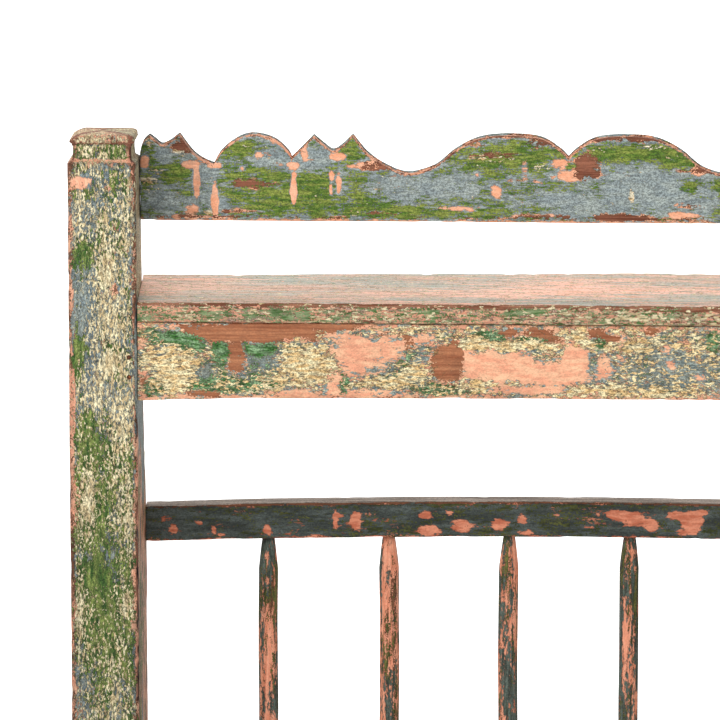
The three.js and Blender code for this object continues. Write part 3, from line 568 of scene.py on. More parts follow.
def crest_rail():
    _, (back_y, front_y), (bottom, top) = box_mm("crest_rail")
    half = np.vstack([smooth_through(stops, 1.6) for stops in CREST_STRETCHES])
    order = np.argsort(half[:, 0], kind="stable")
    x, drop = half[order].T
    x, first = np.unique(np.round(x, 2), return_index=True)
    drop = drop[first]
    x = np.concatenate([-x[:0:-1], x])
    drop = np.concatenate([drop[:0:-1], drop])
    x = x * (CREST_END / PATTERN_HALF)
    skyline = top - drop
    end = np.minimum(1, (CREST_END - np.abs(x)) / 2.0)
    inset = 1.2 * (1 - np.sqrt(np.clip(1 - (1 - end) ** 2, 0, 1)))
    points, faces, outward, near = swept_bar(
        (0, 1, 2), x, back_y + inset, front_y - inset, bottom + inset, skyline - inset, 2.0, 2.6)
    points[:, 2] -= 0.2 * (points[:, 1] - back_y) * (outward[:, 2] > 0)
    points = handled(points, outward, near, 500, 0.25, 0.8)
    low_edge = np.exp(-((points[:, 2] - bottom) / 1.6) ** 2)
    over_edge = np.exp(-((points[:, 2] - bottom - 4.5) / 1.6) ** 2) * np.clip(-outward[:, 1] * 2, 0, 1)
    bare_patches = [
        (-358, 1114, 10, 7, 0.9), (-294, 1080, 22, 4.5, 0.9), (-303, 1054, 20, 1.8, 0.7),
        (-175, 1053, 20, 1.8, 0.7), (-178, 1098, 12, 5, 0.7), (-66, 1109, 20, 3.5, 0.8),
        (-30, 1119, 14, 5, 0.6), (-85, 1118, 12, 2, 0.4), (16, 1098, 12, 12, 1.0),
        (-45, 1084, 20, 2, 0.5), (50, 1050.5, 24, 3.5, 0.9), (60, 1124, 44, 2.4, 0.6),
        (-20, 1052, 34, 2.0, 0.5), (110, 1096, 14, 3, 0.5), (-110, 1107, 14, 5, 0.35),
        (112, 1062, 14, 3, 0.6), (200, 1080, 26, 4, 0.8), (290, 1100, 18, 5, 0.8),
        (250, 1052, 40, 2, 0.6), (360, 1070, 16, 8, 0.6),
    ]
    runs = [
        (-343, 1084, 3.0, 17, 1.5), (-348, 1098, 9, 4, 0.8), (-326, 1067, 2.9, 14, 1.8),
        (-326, 1097, 6, 2.6, 1.3), (-253.5, 1076, 3.0, 13, 1.8), (-254, 1098, 8, 4.5, 1.2),
        (-243, 1108, 4, 7, 0.8), (-218, 1088, 2.4, 4, 1.3), (-212, 1082, 2.0, 8, 1.4),
        (-219, 1076, 1.6, 5, 1.0), (-190, 1097, 14, 3, 0.6), (-214, 1106, 7, 3, 1.0),
        (-391, 1101, 4, 7, 1.0), (-346, 1056, 7, 5, 0.6), (-372, 1120, 3, 3, 1.0),
        (-286, 1107, 3, 3, 0.9), (-301, 1094, 2, 2, 0.9), (-4, 1089, 12, 5, 1.0),
        (-10, 1101, 8, 4, 0.8), (-66, 1075, 5, 6, 1.0), (-100, 1058, 22, 2.2, 0.7),
        (106, 1053, 12, 2.5, 0.9), (-60, 1127, 6, 2, 0.9), (-40, 1096, 3, 10, 0.5),
        (-340, 1048, 30, 1.2, 0.6), (-84, 1090, 3, 3, 0.8), (120, 1094, 5, 4, 0.8),
        (220, 1060, 4, 14, 1.2), (300, 1070, 3, 16, 1.4),
    ]
    left_on = partial(coverage, points, outward)
    bare = near * 0.26 + left_on(0, 0.10, 511, bare_patches, 12)
    stripped = left_on(0, 0.0, 512, runs) + low_edge * 0.6
    left_end = np.clip((-318 - points[:, 0]) / 24, 0, 1)
    drag = lumps(points, (70, 30, 4.5), 521) * 0.6 + lumps(points, (24, 30, 3.2), 522) * 0.4
    sawn_top = np.clip(outward[:, 2] * 2, 0, 1)
    stripped = stripped + 0.45 * sawn_top * (1 + lumps(points, (26, 26, 30), 525))
    bare = bare + sawn_top * (0.20 + 0.35 * lumps(points, 22, 523))
    dark_line = np.exp(-((points[:, 2] - bottom) / 0.8) ** 2)
    fields = {
        "primer": 1.0 - np.clip(bare, 0, 2) + 0.3 * low_edge - over_edge * 0.5,
        "slate": left_on(0.95, 0.16, 513, (), 16) - stripped - bare - over_edge * 0.35,
        "green": left_on(0.44, 0.24, 514, [
            (-360, 1088, 9, 10, 0.5), (-305, 1114, 16, 9, 0.5), (-286, 1072, 32, 20, 0.5),
            (-234, 1070, 17, 19, 0.5), (-200, 1111, 11, 12, 0.5), (-169, 1054, 44, 6, 0.5),
            (-65, 1108, 64, 14, 0.45), (-96, 1055, 36, 6, 0.45), (44, 1111, 40, 7, 0.5),
            (98, 1106, 22, 12, 0.5), (-186, 1076, 18, 16, 0.2), (-373, 1107, 8, 8, -0.3),
            (-375, 1064, 16, 12, -0.4), (-332, 1092, 8, 12, -0.5), (-322, 1060, 10, 10, -0.3),
            (-273, 1105, 17, 8, -0.6), (-236, 1104, 15, 12, -0.6), (-152, 1080, 28, 13, -0.5),
            (-105, 1077, 26, 11, -0.6), (-30, 1066, 30, 7, -0.3), (8, 1062, 28, 11, -0.6),
            (66, 1080, 38, 19, -0.8), (122, 1068, 16, 10, -0.5), (110, 1078, 7, 6, 0.8),
            (180, 1075, 40, 20, 0.4), (260, 1080, 30, 18, -0.5), (330, 1075, 30, 20, 0.4),
        ], (30, 60, 9)) + 0.16 * drag - stripped * 1.2 - bare,
        "cream": left_on(-0.06, 0.12, 515, [
            (-386, 1121, 6, 7, 0.5), (-355, 1110, 9, 3, 0.45), (-386, 1083, 9, 3.4, 0.8),
            (-384, 1074, 6, 4, 0.5), (-379, 1091, 7, 2.0, 0.6), (-300, 1116, 8, 3, 0.3),
            (-75, 1104, 22, 4, 0.3), (58, 1071, 1.6, 6, 1.6), (-331, 1054, 4, 3, 0.9),
            (-20, 1098, 14, 3, 0.4), (75, 1118, 16, 2, 0.5),
        ], 14) - stripped * 0.6 - near * 0.1,
        # Painted shadow: this darkening field is raised at the left end, beside the post. It also
        # darkens a thin line along the bottom edge, the band above it on the shelf side, and the sawn
        # top.
        "soil_and_shade": 0.03 + 0.34 * left_end + 0.1 * over_edge + 0.5 * dark_line + 0.10 * sawn_top,
    }
    return make_piece(
        "scrolled_crest", points, faces, fields, crest_paint, ["crest_rail"])


# Slate oil paint with thin olive green dragged over it along the grain, so it reads as streaks.
crest_paint = flaked_paint("slate_and_olive_paint_on_crest", 0, ("#6a3a28", "#a06850"), [
    paint_coat("primer", ("#f0a680", "#f6b897"), (9, 5), 0.5, 0.35),
    paint_coat("slate", ("#919d9e", "#a8b2ad"), (14, 6), 0.5, 0.3),
    paint_coat("green", ("#56752c", "#8e9a48"), (11, 2.6), 0.75, 0.5, rim=0.6),
    paint_coat("cream", ("#eee3c6", "#c9a877"), (8, 3), 0.6, 0.6),
], contrast=0.44, net=0.5, dirt="#34351f", stretch=0.9)
crest_rail()


# ---------------------------------------------------------------- book shelf
# One board on top of the apron, between the posts. Its top is scrubbed and sun-bleached, with thin
# grey-green and pink streaks of paint left in the grain; its front arris is worn to brown wood.
shelf_wood = flaked_paint("bleached_shelf_board", 0, ("#b79784", "#dcbaa6"), [
    paint_coat("primer", ("#f3b79c", "#f6cab6"), (40, 2.6), 1.0, 0.3, rim=0.0, soft=0.3, thick=0.2),
    paint_coat("slate", ("#a3a89c", "#c2c4b8"), (60, 2.2), 1.0, 0.3, rim=0.0, soft=0.3, thick=0.2),
    paint_coat("worn", ("#7a4a34", "#a8745a"), (30, 2.4), 0.6, 0.4, rim=0.2, thick=-0.2),
    paint_coat("pink", PRIMER, (10, 3.2), 0.8, 0.6),
    paint_coat("green", ("#4a7038", "#9aa97c"), (12, 3), 0.8, 0.6),
    paint_coat("cream", CREAM, (8, 2.5), 0.8, 0.8),
], wood_scale=(70, 1.4), contrast=0.18, net=0.12)


def shelf_board():
    """A board whose seat-side edge is crooked and cupped upwards: (y - back - 30) / 80 of 1.5 mm."""
    _, (back, front), (bottom, top) = box_mm("shelf_board")
    stations, drawn_in = worn_ends(-POST_INNER, POST_INNER, 4.0, 0.6)
    crooked = np.interp(stations, [-POST_INNER, 60, 200, POST_INNER], [-4.0, 8.0, 8.0, 0.0])
    points, faces, outward, near = swept_bar(
        (0, 1, 2), stations, back + drawn_in, front + crooked - drawn_in,
        bottom + drawn_in, top - drawn_in, 2.4, 3.2)
    cupped = 1.5 * np.interp(points[:, 0], [-360, 60, 300], [0, 1, 0.3])
    points[:, 2] += cupped * np.clip((points[:, 1] - back - 30) / 80, 0, 1)
    points = handled(points, outward, near, 700, 0.25, 1.3)
    on_top = np.clip(outward[:, 2] * 3 - 1.2, 0, 1)
    on_edge = np.clip(-outward[:, 1] * 2, 0, 1)
    rounded = np.clip((0.75 - outward[:, 2]) * 5, 0, 1) * np.clip(outward[:, 2] * 4, 0, 1) * on_edge
    thick_band = 3.5 + 2.5 * np.clip((points[:, 0] + 200) / 140, 0, 1) + 1.2 * lumps(points, 30, 731)
    upper = np.clip((points[:, 2] - top + thick_band) / 1.5, 0, 1) * on_edge
    lower = on_edge - upper * 0.9
    grey_back = np.exp(-((front - points[:, 1]) / 12) ** 2)
    elsewhere = 1 - np.clip(on_top + on_edge, 0, 1)
    left_on = partial(coverage, points, outward)
    fields = {
        "primer": left_on(0.50, 0.5, 701, (), (150, 26, 20)) * on_top,
        "slate": left_on(0.38, 0.5, 703, (), (130, 20, 16)) * on_top
        + 0.35 * grey_back * on_top,
        "worn": 0.75 * rounded + 0.75 * upper + 0.45 * lower + 0.9 * elsewhere + 0.10,
        "pink": left_on(0.66, 0.22, 705, [
            (-370, 968, 25, 8, 0.3), (-150, 968, 40, 5, 0.2)], 30) * lower + 0.4 * elsewhere,
        "green": left_on(0.42, 0.25, 707, [
            (-345, 966, 20, 4, 0.2), (-260, 967, 45, 3, 0.3), (-40, 974, 24, 3, 0.9),
            (-300, 970, 60, 4, 0.2)], 22) * lower,
        "cream": (left_on(0.30, 0.22, 709, (), 22) - 0.2 * (points[:, 0] < -60)) * lower,
        "soil_and_shade": 0.05 + 0.25 * lower,
    }
    return make_piece("worn_shelf", points, faces, fields, shelf_wood, ["shelf_board"])


shelf_board()


# ---------------------------------------------------------------- apron under the shelf
# A deep board under the shelf's front edge. Its paint came off in large islands: cream over slate,
# leaf green at their shores, big fields of smooth pink primer, and bare brown wood between them.
apron_paint = flaked_paint("island_flaked_paint_on_apron", 0, ("#8f5438", "#b97c58"), [
    paint_coat("primer", ("#eaa483", "#f8c09a"), (14, 6), 0.6, 0.35, rim=0.3),
    paint_coat("slate", ("#84928f", "#a9b0a4"), (8, 3.5), 0.8, 0.6),
    paint_coat("green", ("#417034", "#8fb084"), (8, 4), 0.55, 0.45, rim=0.8),
    paint_coat("cream", ("#f1e3b6", "#dfba80"), (8, 3.6), 0.6, 0.55, rim=0.95, veined=0.15, twist=0.8),
], contrast=0.5, net=0.65, dirt="#4f4631", stretch=1.0)


def shelf_apron():
    """A board that hangs lower at its low X end, by 4.4 * exp(-distance / 120) mm."""
    _, (back, front), (bottom, top) = box_mm("shelf_apron")
    stations, drawn_in = worn_ends(-POST_INNER, POST_INNER, 3.0, 0.6)
    hang = 4.4 * np.exp(-(stations + POST_INNER) / 120)
    points, faces, outward, near = swept_bar(
        (0, 1, 2), stations, back + drawn_in, front - drawn_in,
        bottom - hang + drawn_in, top - drawn_in, 1.8, 3.0)
    points = handled(points, outward, near, 800, 0.3, 1.2)
    bare_at = [
        (-294, 951, 66, 9, 1.25), (-304, 928, 8, 16, 1.1), (-336, 894, 16, 3, 0.8),
        (-112, 922, 14, 17, 1.0), (-104, 936, 9, 10, 0.8), (-26, 953, 14, 5, 0.9),
        (-12, 946, 12, 4, 0.7), (26, 954, 8, 4, 0.9), (42, 949, 11, 3.4, 0.9), (77, 955, 8, 4, 0.9),
        (-55, 953, 9, 5, 0.7), (-240, 958, 70, 2.5, 0.7), (-390, 945, 6, 5, 0.5),
        (-146, 944, 6, 8, 0.7), (-160, 952, 14, 4, 0.5), (-390, 903, 4, 10, 0.7),
        (-190, 925, 12, 4, 0.3), (200, 945, 26, 10, 0.6), (330, 930, 20, 14, 0.6),
    ]
    pink_at = [
        (-64, 922, 30, 13, 1.5), (-20, 914, 34, 9, 1.3), (8, 926, 10, 16, 1.3),
        (-190, 930, 22, 16, 1.0), (-165, 936, 18, 12, 0.7), (-205, 944, 12, 8, 0.5),
        (-28, 899, 28, 3.5, 1.0), (34, 920, 7, 12, 1.0), (96, 924, 5, 6, 1.0), (92, 939, 4, 4, 0.8),
        (122, 912, 5, 4, 0.8), (-250, 893, 16, 4, 0.8), (-130, 946, 9, 6, 0.6), (-215, 905, 8, 10, 0.6),
        (-190, 896, 40, 3, 0.6), (-60, 900, 14, 3, 0.5), (190, 920, 30, 14, 0.8),
        (290, 918, 34, 16, 0.9),
    ]
    low_edge = np.exp(-((points[:, 2] - bottom) / 2.0) ** 2)
    left_on = partial(coverage, points, outward)
    bare = left_on(0, 0.10, 803, bare_at, 12) + near * 0.25
    pink = left_on(0, 0.12, 804, pink_at, 12) + low_edge * 0.5
    fields = {
        "primer": 1.0 - np.clip(bare, 0, 2),
        "slate": left_on(0.74, 0.2, 805, [
            (100, 915, 60, 20, 0.3), (-284, 926, 16, 18, 0.4), (-334, 912, 10, 12, 0.4),
            (-135, 908, 14, 5, 0.5),
            (-225, 940, 30, 3, 0.4)], 16) - bare - pink,
        "green": left_on(0.28, 0.2, 806, [
            (-352, 946, 20, 7, 0.9), (-346, 938, 12, 7, 0.8), (-318, 933, 10, 13, 0.8),
            (-283, 938, 18, 9, 0.8), (-322, 901, 26, 7, 0.8), (-384, 899, 10, 9, 0.8),
            (-386, 950, 10, 8, 0.4), (-70, 950, 16, 7, 0.8), (-22, 945, 16, 6, 0.7),
            (30, 944, 5, 7, 0.8), (-100, 922, 5, 14, 0.5), (-120, 898, 20, 6, 0.6),
            (-207, 903, 6, 12, 0.5), (134, 946, 6, 10, 0.8), (-280, 903, 20, 5, 0.6),
            (-148, 930, 8, 8, 0.4), (-366, 918, 22, 16, -0.4), (-238, 920, 26, 16, -0.4),
            (100, 920, 50, 22, -0.2),
        ], 12) - bare * 0.9 - pink,
        "cream": left_on(0.30, 0.2, 807, [
            (-366, 920, 24, 15, 0.6), (-360, 901, 10, 9, 0.6), (-238, 920, 24, 17, 0.65),
            (-272, 908, 14, 8, 0.3), (-284, 928, 12, 16, -0.4), (-331, 914, 8, 12, -0.45),
            (-318, 933, 10, 14, -0.4), (-345, 942, 14, 5, -0.5), (-140, 914, 14, 8, 0.5),
            (-50, 941, 44, 4, 0.6), (12, 950, 6, 10, 0.8), (-85, 944, 14, 7, 0.4),
            (-80, 903, 26, 6, 0.45), (60, 942, 40, 5, 0.45), (60, 897, 60, 6, 0.45),
            (-165, 905, 20, 7, 0.45), (100, 922, 40, 12, -0.15), (-352, 950, 18, 8, -0.3),
            (-150, 955, 16, 3, 0.4),
        ], 10) - bare * 0.5 - pink,
        "soil_and_shade": left_on(0.10, 0.1, 808, [
            (-382, 901, 11, 9, 0.3), (-335, 921, 9, 10, 0.2), (-100, 918, 8, 12, 0.2)], 30)
        + 0.2 * low_edge,
    }
    return make_piece("worn_apron", points, faces, fields, apron_paint, ["shelf_apron"])


shelf_apron()


# ---------------------------------------------------------------- spindle rails
# Two square rails with round top arrises. The upper one is slightly bowed. Thick slate paint,
# chipped to terracotta pink, with olive rubbed over it in places. Wood, primer, slate and olive all
# have much darker tints here than on the posts: painted shade, for the shadow under the shelf.
rail_paint_in_shade = flaked_paint("chipped_slate_paint_on_rails_in_painted_shade", 0, ("#4d3224", "#84543c"), [
    paint_coat("primer", ("#bd6a4e", "#dc8f70"), (12, 5), 0.7, 0.35, rim=0.3),
    paint_coat("slate", ("#3b413d", "#555d59"), (30, 8), 0.6, 0.35),
    paint_coat("green", ("#343a1c", "#52552c"), (14, 4), 0.9, 0.6, rim=0.2),
    paint_coat("grey", ("#75695e", "#9c9085"), (40, 4), 0.6, 0.3, rim=0.2),
], contrast=0.34, net=0.4, dirt="#1d1a12")


def spindle_rail(node, name, camber, seed, chips):
    """A rail bowed upwards by camber * (1 - (x / half length) ** 2)."""
    _, (back, front), (low_z, high_z) = box_mm(node)
    stations, drawn_in = worn_ends(-POST_INNER, POST_INNER, 3.0, 0.6)
    bow = camber * (1 - (stations / POST_INNER) ** 2)
    bottom, top = low_z + bow + drawn_in, high_z - camber + bow - drawn_in
    points, faces, outward, near = swept_bar(
        (0, 1, 2), stations, back + drawn_in, front - drawn_in, bottom, top, 3.0, 2.8)
    points = handled(points, outward, near, seed, 0.3, 1.0)
    bow_here = camber * (1 - (points[:, 0] / POST_INNER) ** 2)
    under_top = points[:, 2] - (high_z - camber + bow_here)
    on_top = np.clip(outward[:, 2] * 4 - 3, 0, 1)
    top_arris = np.clip(outward[:, 2] * 2, 0, 1) * (1 - on_top)
    under_arris = np.clip(-outward[:, 2] * 2, 0, 1)
    left_on = partial(coverage, points, outward)
    chipped = left_on(0, 0.0, seed + 4, chips)
    left_end = np.clip((-290 - points[:, 0]) / 60, 0, 1)
    fields = {
        "primer": 1.0 - top_arris * 0.8 - near * 0.15,
        "slate": left_on(0.86, 0.14, seed + 5, (), 24) - chipped - top_arris * 0.7
        - under_arris * 0.4,
        "green": left_on(0.26, 0.34, seed + 6, (), (60, 30, 9)) - chipped - top_arris
        - left_end * 0.2 + 0.35 * np.clip((under_top + 6) / 4, 0, 1),
        "grey": on_top * 1.1,
        "soil_and_shade": 0.15 - 0.1 * left_end - 0.1 * on_top,
    }
    return make_piece(name, points, faces, fields, rail_paint_in_shade, [node])


UPPER_CHIPS = [
    (-370, 729, 4, 5, 1.0), (-376, 739, 6, 3, 0.5), (-345, 735, 1.6, 1.6, 1.2),
    (-331, 728, 2, 3.5, 1.1), (-325, 723, 3, 1.5, 1.0), (-281, 729, 3, 5, 1.1),
    (-217, 738, 2.6, 8, 1.1), (-215, 743, 4, 2, 1.1), (-198, 738, 4.5, 7, 1.2),
    (-133, 744, 6, 3.5, 1.1), (-128, 729, 10, 5, 1.0), (-100, 735, 12, 6, 0.8), (-110, 746, 3, 2, 1.0),
    (-62, 736, 7, 5, 0.9), (-42, 740, 5, 7, 1.2), (-40, 728, 6, 3, 0.9), (46, 746, 12, 3.4, 1.2),
    (62, 742, 12, 5, 1.2), (78, 736, 6, 5, 1.1), (104, 746, 8, 4, 1.2), (118, 740, 10, 8, 1.2),
    (112, 729, 12, 3, 1.0), (128, 748, 5, 3, 1.0), (20, 734, 6, 2, 0.7), (-10, 746, 4, 2, 0.7),
    (170, 738, 10, 5, 0.9), (250, 740, 14, 5, 0.9), (330, 735, 12, 5, 0.9), (-235, 722, 9, 1.6, 0.9),
    (-180, 722, 10, 1.6, 0.9),
]
LOWER_CHIPS = [
    (-300, 476, 20, 6, 0.9), (-120, 480, 16, 5, 0.9), (60, 474, 24, 6, 0.9), (240, 478, 18, 6, 0.9),
]
UPPER_CAMBER = 7.7
spindle_rail("spindle_rail_upper", "bowed_upper_rail", UPPER_CAMBER, 900, UPPER_CHIPS)
spindle_rail("spindle_rail_lower", "plain_lower_rail", 0.0, 950, LOWER_CHIPS)


# ---------------------------------------------------------------- spindles
# Six sticks shaved by hand to an uneven round, with short cone ends that enter drilled holes.
# Dark slate paint is left in the hollows between the shave marks; the ridges are pink or bare brown.
# All the tints are darker than the same paints on the posts, the slate and olive much darker:
# painted shade under the shelf.
spindle_paint_in_shade = flaked_paint("rubbed_paint_on_spindles_in_painted_shade", 2, ("#5c3a28", "#96684a"), [
    paint_coat("primer", ("#db8a6a", "#eda586"), (22, 3.4), 0.6, 0.35),
    paint_coat("slate", ("#40463e", "#5f6a61"), (18, 3.2), 0.6, 0.4),
    paint_coat("green", ("#3d4320", "#6b6a38"), (22, 3.0), 0.8, 0.4, rim=0.5),
], wood_scale=(40, 1.2), contrast=0.36, net=0.4, dirt="#241d12")
SPINDLE_RADIUS = 9.2
SPINDLE_TENON = 18.0
SPINDLE_NECK = 5.3
SPINDLE_TAPER = 31.0
SPINDLE_SIDES = 40
FACET_SHARE = 0.45  # 0 would be round, 1 a sharp polygon
DARKER_SPINDLES = (3, 4)  # more slate paint is left on these


def spindle(index):
    """A turning about Z: radius = profile(z) * facets(angle), where the facets are the distance
    to the nearest of a few flats, so shallow ridges run its whole length."""
    (low_x, high_x), (low_y, high_y), (_, high_z) = box_mm(f"spindle_{index}")
    middle_x, middle_y = (low_x + high_x) / 2, (low_y + high_y) / 2
    bottom = box_mm("spindle_rail_lower")[2][1]
    top = high_z - SPINDLE_TENON
    foot, head = [bottom - 4, bottom + 0.8, bottom + 2], [top - 2, top - 0.8, top + 5]
    z = np.concatenate([foot, np.linspace(bottom + 4, top - 4, 74), head])
    shape = np.clip(np.minimum(z - bottom, top - z) / SPINDLE_TAPER, 0, 1)
    radius = SPINDLE_NECK + (SPINDLE_RADIUS - SPINDLE_NECK) * shape ** 0.8
    angle = np.linspace(0, 2 * np.pi, SPINDLE_SIDES, endpoint=False)
    rng = np.random.default_rng(40 + index)
    flats = rng.integers(8, 11)
    turned = rng.uniform(0, np.pi)
    facet = np.cos(np.pi / flats) / np.cos((angle + turned) % (2 * np.pi / flats) - np.pi / flats)
    around = 1 - FACET_SHARE + FACET_SHARE * facet / facet.mean()
    lean = rng.uniform(-0.9, 0.9, 2)
    sway = np.sin(np.clip((z - bottom) / (top - bottom), 0, 1) * np.pi)
    x = middle_x + lean[0] * sway[:, None] + radius[:, None] * around * np.cos(angle)
    y = middle_y + lean[1] * sway[:, None] * 0.4 + radius[:, None] * around * np.sin(angle)
    height = np.repeat(z, SPINDLE_SIDES)
    points = np.stack([x.reshape(-1), y.reshape(-1), height], -1)
    outward = np.tile(np.stack([np.cos(angle), np.sin(angle), 0 * angle], -1), (len(z), 1))
    points = points + outward * (0.35 * lumps(points, (9, 9, 40), 60 + index))[:, None]
    quads = ring_quads(len(z), SPINDLE_SIDES)
    ends = [np.arange(SPINDLE_SIDES)[::-1], (len(z) - 1) * SPINDLE_SIDES + np.arange(SPINDLE_SIDES)]
    ridge = np.tile((facet - facet.min()) / np.ptp(facet), len(z))
    neck = np.repeat(1 - shape, SPINDLE_SIDES)
    darker = 0.32 * (index in DARKER_SPINDLES)

    def coat(base, wander, seed, size):
        return coverage(points, outward, base, wander, seed + index, (), size)

    fields = {
        "primer": coat(0.78, 0.5, 620, (7, 7, 60)) + ridge * 0.1 + neck * 0.15,
        "slate": coat(0.40, 0.75, 640, (8, 8, 70)) - ridge * 0.15 - neck * 0.05 + darker,
        "green": coat(0.26, 0.6, 660, (8, 8, 60)) - ridge * 0.12 - neck * 0.3,
        # Painted shade: a dark ring on each stick where it goes into the rail above.
        "soil_and_shade": 0.08 + 0.55 * np.exp(-((top - height) / 5) ** 2),
    }
    return make_piece(f"shaved_spindle_{index}", points, (quads, ends), fields, spindle_paint_in_shade,
                      [f"spindle_{index}"])


for index in range(1, 7):
    spindle(index)


# ---------------------------------------------------------------- seat frame, arms, legs, stretchers
# Sawn bars with worn arrises, tenoned to the posts and legs. The same green and cream paint as the
# posts, rubbed to primer and wood where hands, calves and heels touch it.
def frame_paint_along(grain, name):
    return flaked_paint(name, grain, OLD_WOOD, [
        paint_coat("primer", PRIMER, (14, 6), 0.7, 0.4),
        paint_coat("slate", SLATE, (20, 5), 0.9, 0.6),
        paint_coat("green", GREEN, (18, 4), 0.9, 0.7),
        paint_coat("cream", CREAM, (10, 3), 0.8, 0.9, rim=0.75),
    ], contrast=0.38, net=0.5)


long_bar_paint = frame_paint_along(0, "flaked_oil_paint_on_long_bars")
deep_bar_paint = frame_paint_along(1, "flaked_oil_paint_on_deep_bars")
upright_paint = frame_paint_along(2, "flaked_oil_paint_on_legs")


def frame_bar(name, node, run, limits, seed, paint, arris=2.4, rubbed=0.0, nose=0.0):
    """One bar between limits ((low, high) for X, Y and Z in mm), running along axis `run`.
    A nose rounds the last stretch of a bar in height as a half circle."""
    cross = [(1, 2), (2, 0), (0, 1)][run]
    (first, last), (low_a, high_a), (low_b, high_b) = limits[run], limits[cross[0]], limits[cross[1]]
    stations, drawn_in = worn_ends(first, last, 6.0, 2.0)
    low_a, high_a = low_a + drawn_in, high_a - drawn_in
    if nose:
        tip = np.linspace(0, np.pi / 2, 9)
        keep = stations < last - nose
        stations = np.concatenate([stations[keep], last - nose + nose * np.sin(tip)])
        drawn_in = np.concatenate([drawn_in[keep], 0.6 * (tip > 1.4)])
        low_a = np.concatenate([low_a[keep], limits[cross[0]][0] + nose * (1 - np.cos(tip) * 0.97)])
        high_a = np.concatenate([high_a[keep], limits[cross[0]][1] - nose * (1 - np.cos(tip) * 0.97)])
    points, faces, outward, near = swept_bar(
        (run, *cross), stations, low_a, high_a, low_b + drawn_in, high_b - drawn_in, arris, 6.0)
    points = handled(points, outward, near, seed, 0.3, 1.4)
    worn_top = rubbed * np.clip(outward[:, 2] * 1.5, 0, 1)
    bare = near * 0.42 + worn_top
    size = [22, 22, 22]
    size[run] = 110
    left_on = partial(coverage, points, outward)
    fields = {
        "primer": left_on(0.95, 0.2, seed + 3) - bare * 1.1,
        "slate": left_on(0.62, 0.25, seed + 4, (), size) - bare,
        "green": left_on(0.46, 0.25, seed + 5, (), size) - bare,
        "cream": left_on(0.34, 0.2, seed + 6, (), size) - bare * 0.8,
        "soil_and_shade": np.full(len(points), 0.2),
    }
    return make_piece(name, points, faces, fields, paint, [node])


leg_box = box_mm("front_leg_left")
leg_inner = -leg_box[0][1] - JOINT_GAP
leg_back, leg_front = leg_box[1]
arm_low, arm_high = box_mm("arm_left")[2]
post_front = BACK_Y * 1000 + POST_BODY[1] + JOINT_GAP


def post_front_at(height):
    """The Y of a post's seat-side face at a height, in millimetres."""
    return BACK_Y * 1000 + float(post_depth(np.array(height)))


for seed, side in ((1100, "left"), (1150, "right")):
    x, y, z = box_mm(f"front_leg_{side}")
    frame_bar(f"worn_leg_{side}", f"front_leg_{side}", 2, [x, y, (0, arm_low - JOINT_GAP)], seed,
              upright_paint)
    x, y, z = box_mm(f"arm_{side}")
    frame_bar(f"worn_arm_{side}", f"arm_{side}", 1, [x, (post_front, y[1]), z], seed + 20,
              deep_bar_paint, 3.4, 0.9, (z[1] - z[0]) / 2)
    x, y, z = box_mm(f"side_seat_rail_{side}")
    frame_bar(f"side_rail_{side}", f"side_seat_rail_{side}", 1,
              [x, (post_front, leg_back - JOINT_GAP), z], seed + 30, deep_bar_paint)
    x, y, z = box_mm(f"side_stretcher_{side}")
    frame_bar(f"heel_worn_stretcher_{side}", f"side_stretcher_{side}", 1,
              [x, (post_front_at(z[1]) + JOINT_GAP, leg_back - JOINT_GAP), z], seed + 40,
              deep_bar_paint, 2.6, 0.5)

stretcher_inner = -box_mm("side_stretcher_left")[0][1] - JOINT_GAP


def long_bar(name, node, half, seed, arris=2.4, rubbed=0.0):
    """A bar that runs along X from -half to half."""
    _, y, z = box_mm(node)
    frame_bar(name, node, 0, [(-half, half), y, z], seed, long_bar_paint, arris, rubbed)


long_bar("back_seat_rail", "rear_seat_rail", POST_INNER, 1250)
long_bar("calf_worn_seat_rail", "front_seat_rail", leg_inner, 1260)
frame_bar("middle_bearer", "seat_bearer", 1, box_mm("seat_bearer"), 1270, deep_bar_paint)
long_bar("foot_worn_cross_stretcher", "cross_stretcher", stretcher_inner, 1280, 3.0, 0.7)


# ---------------------------------------------------------------- seat planks
# Four boards nailed across the seat rails. Sitting has polished their middles to bare brown wood;
# pink primer and green paint are left at the ends and along the joints.
seat_wood = flaked_paint("sat_smooth_seat_boards", 0, ("#80492f", "#b9805c"), [
    paint_coat("primer", ("#e3a081", "#f3bd9d"), (40, 5), 0.9, 0.4, soft=0.12),
    paint_coat("slate", SLATE, (40, 5), 0.9, 0.5),
    paint_coat("green", GREEN, (36, 5), 0.9, 0.6),
    paint_coat("cream", CREAM, (24, 4), 0.9, 0.8),
], wood_scale=(110, 2.0), contrast=0.18, net=0.2)


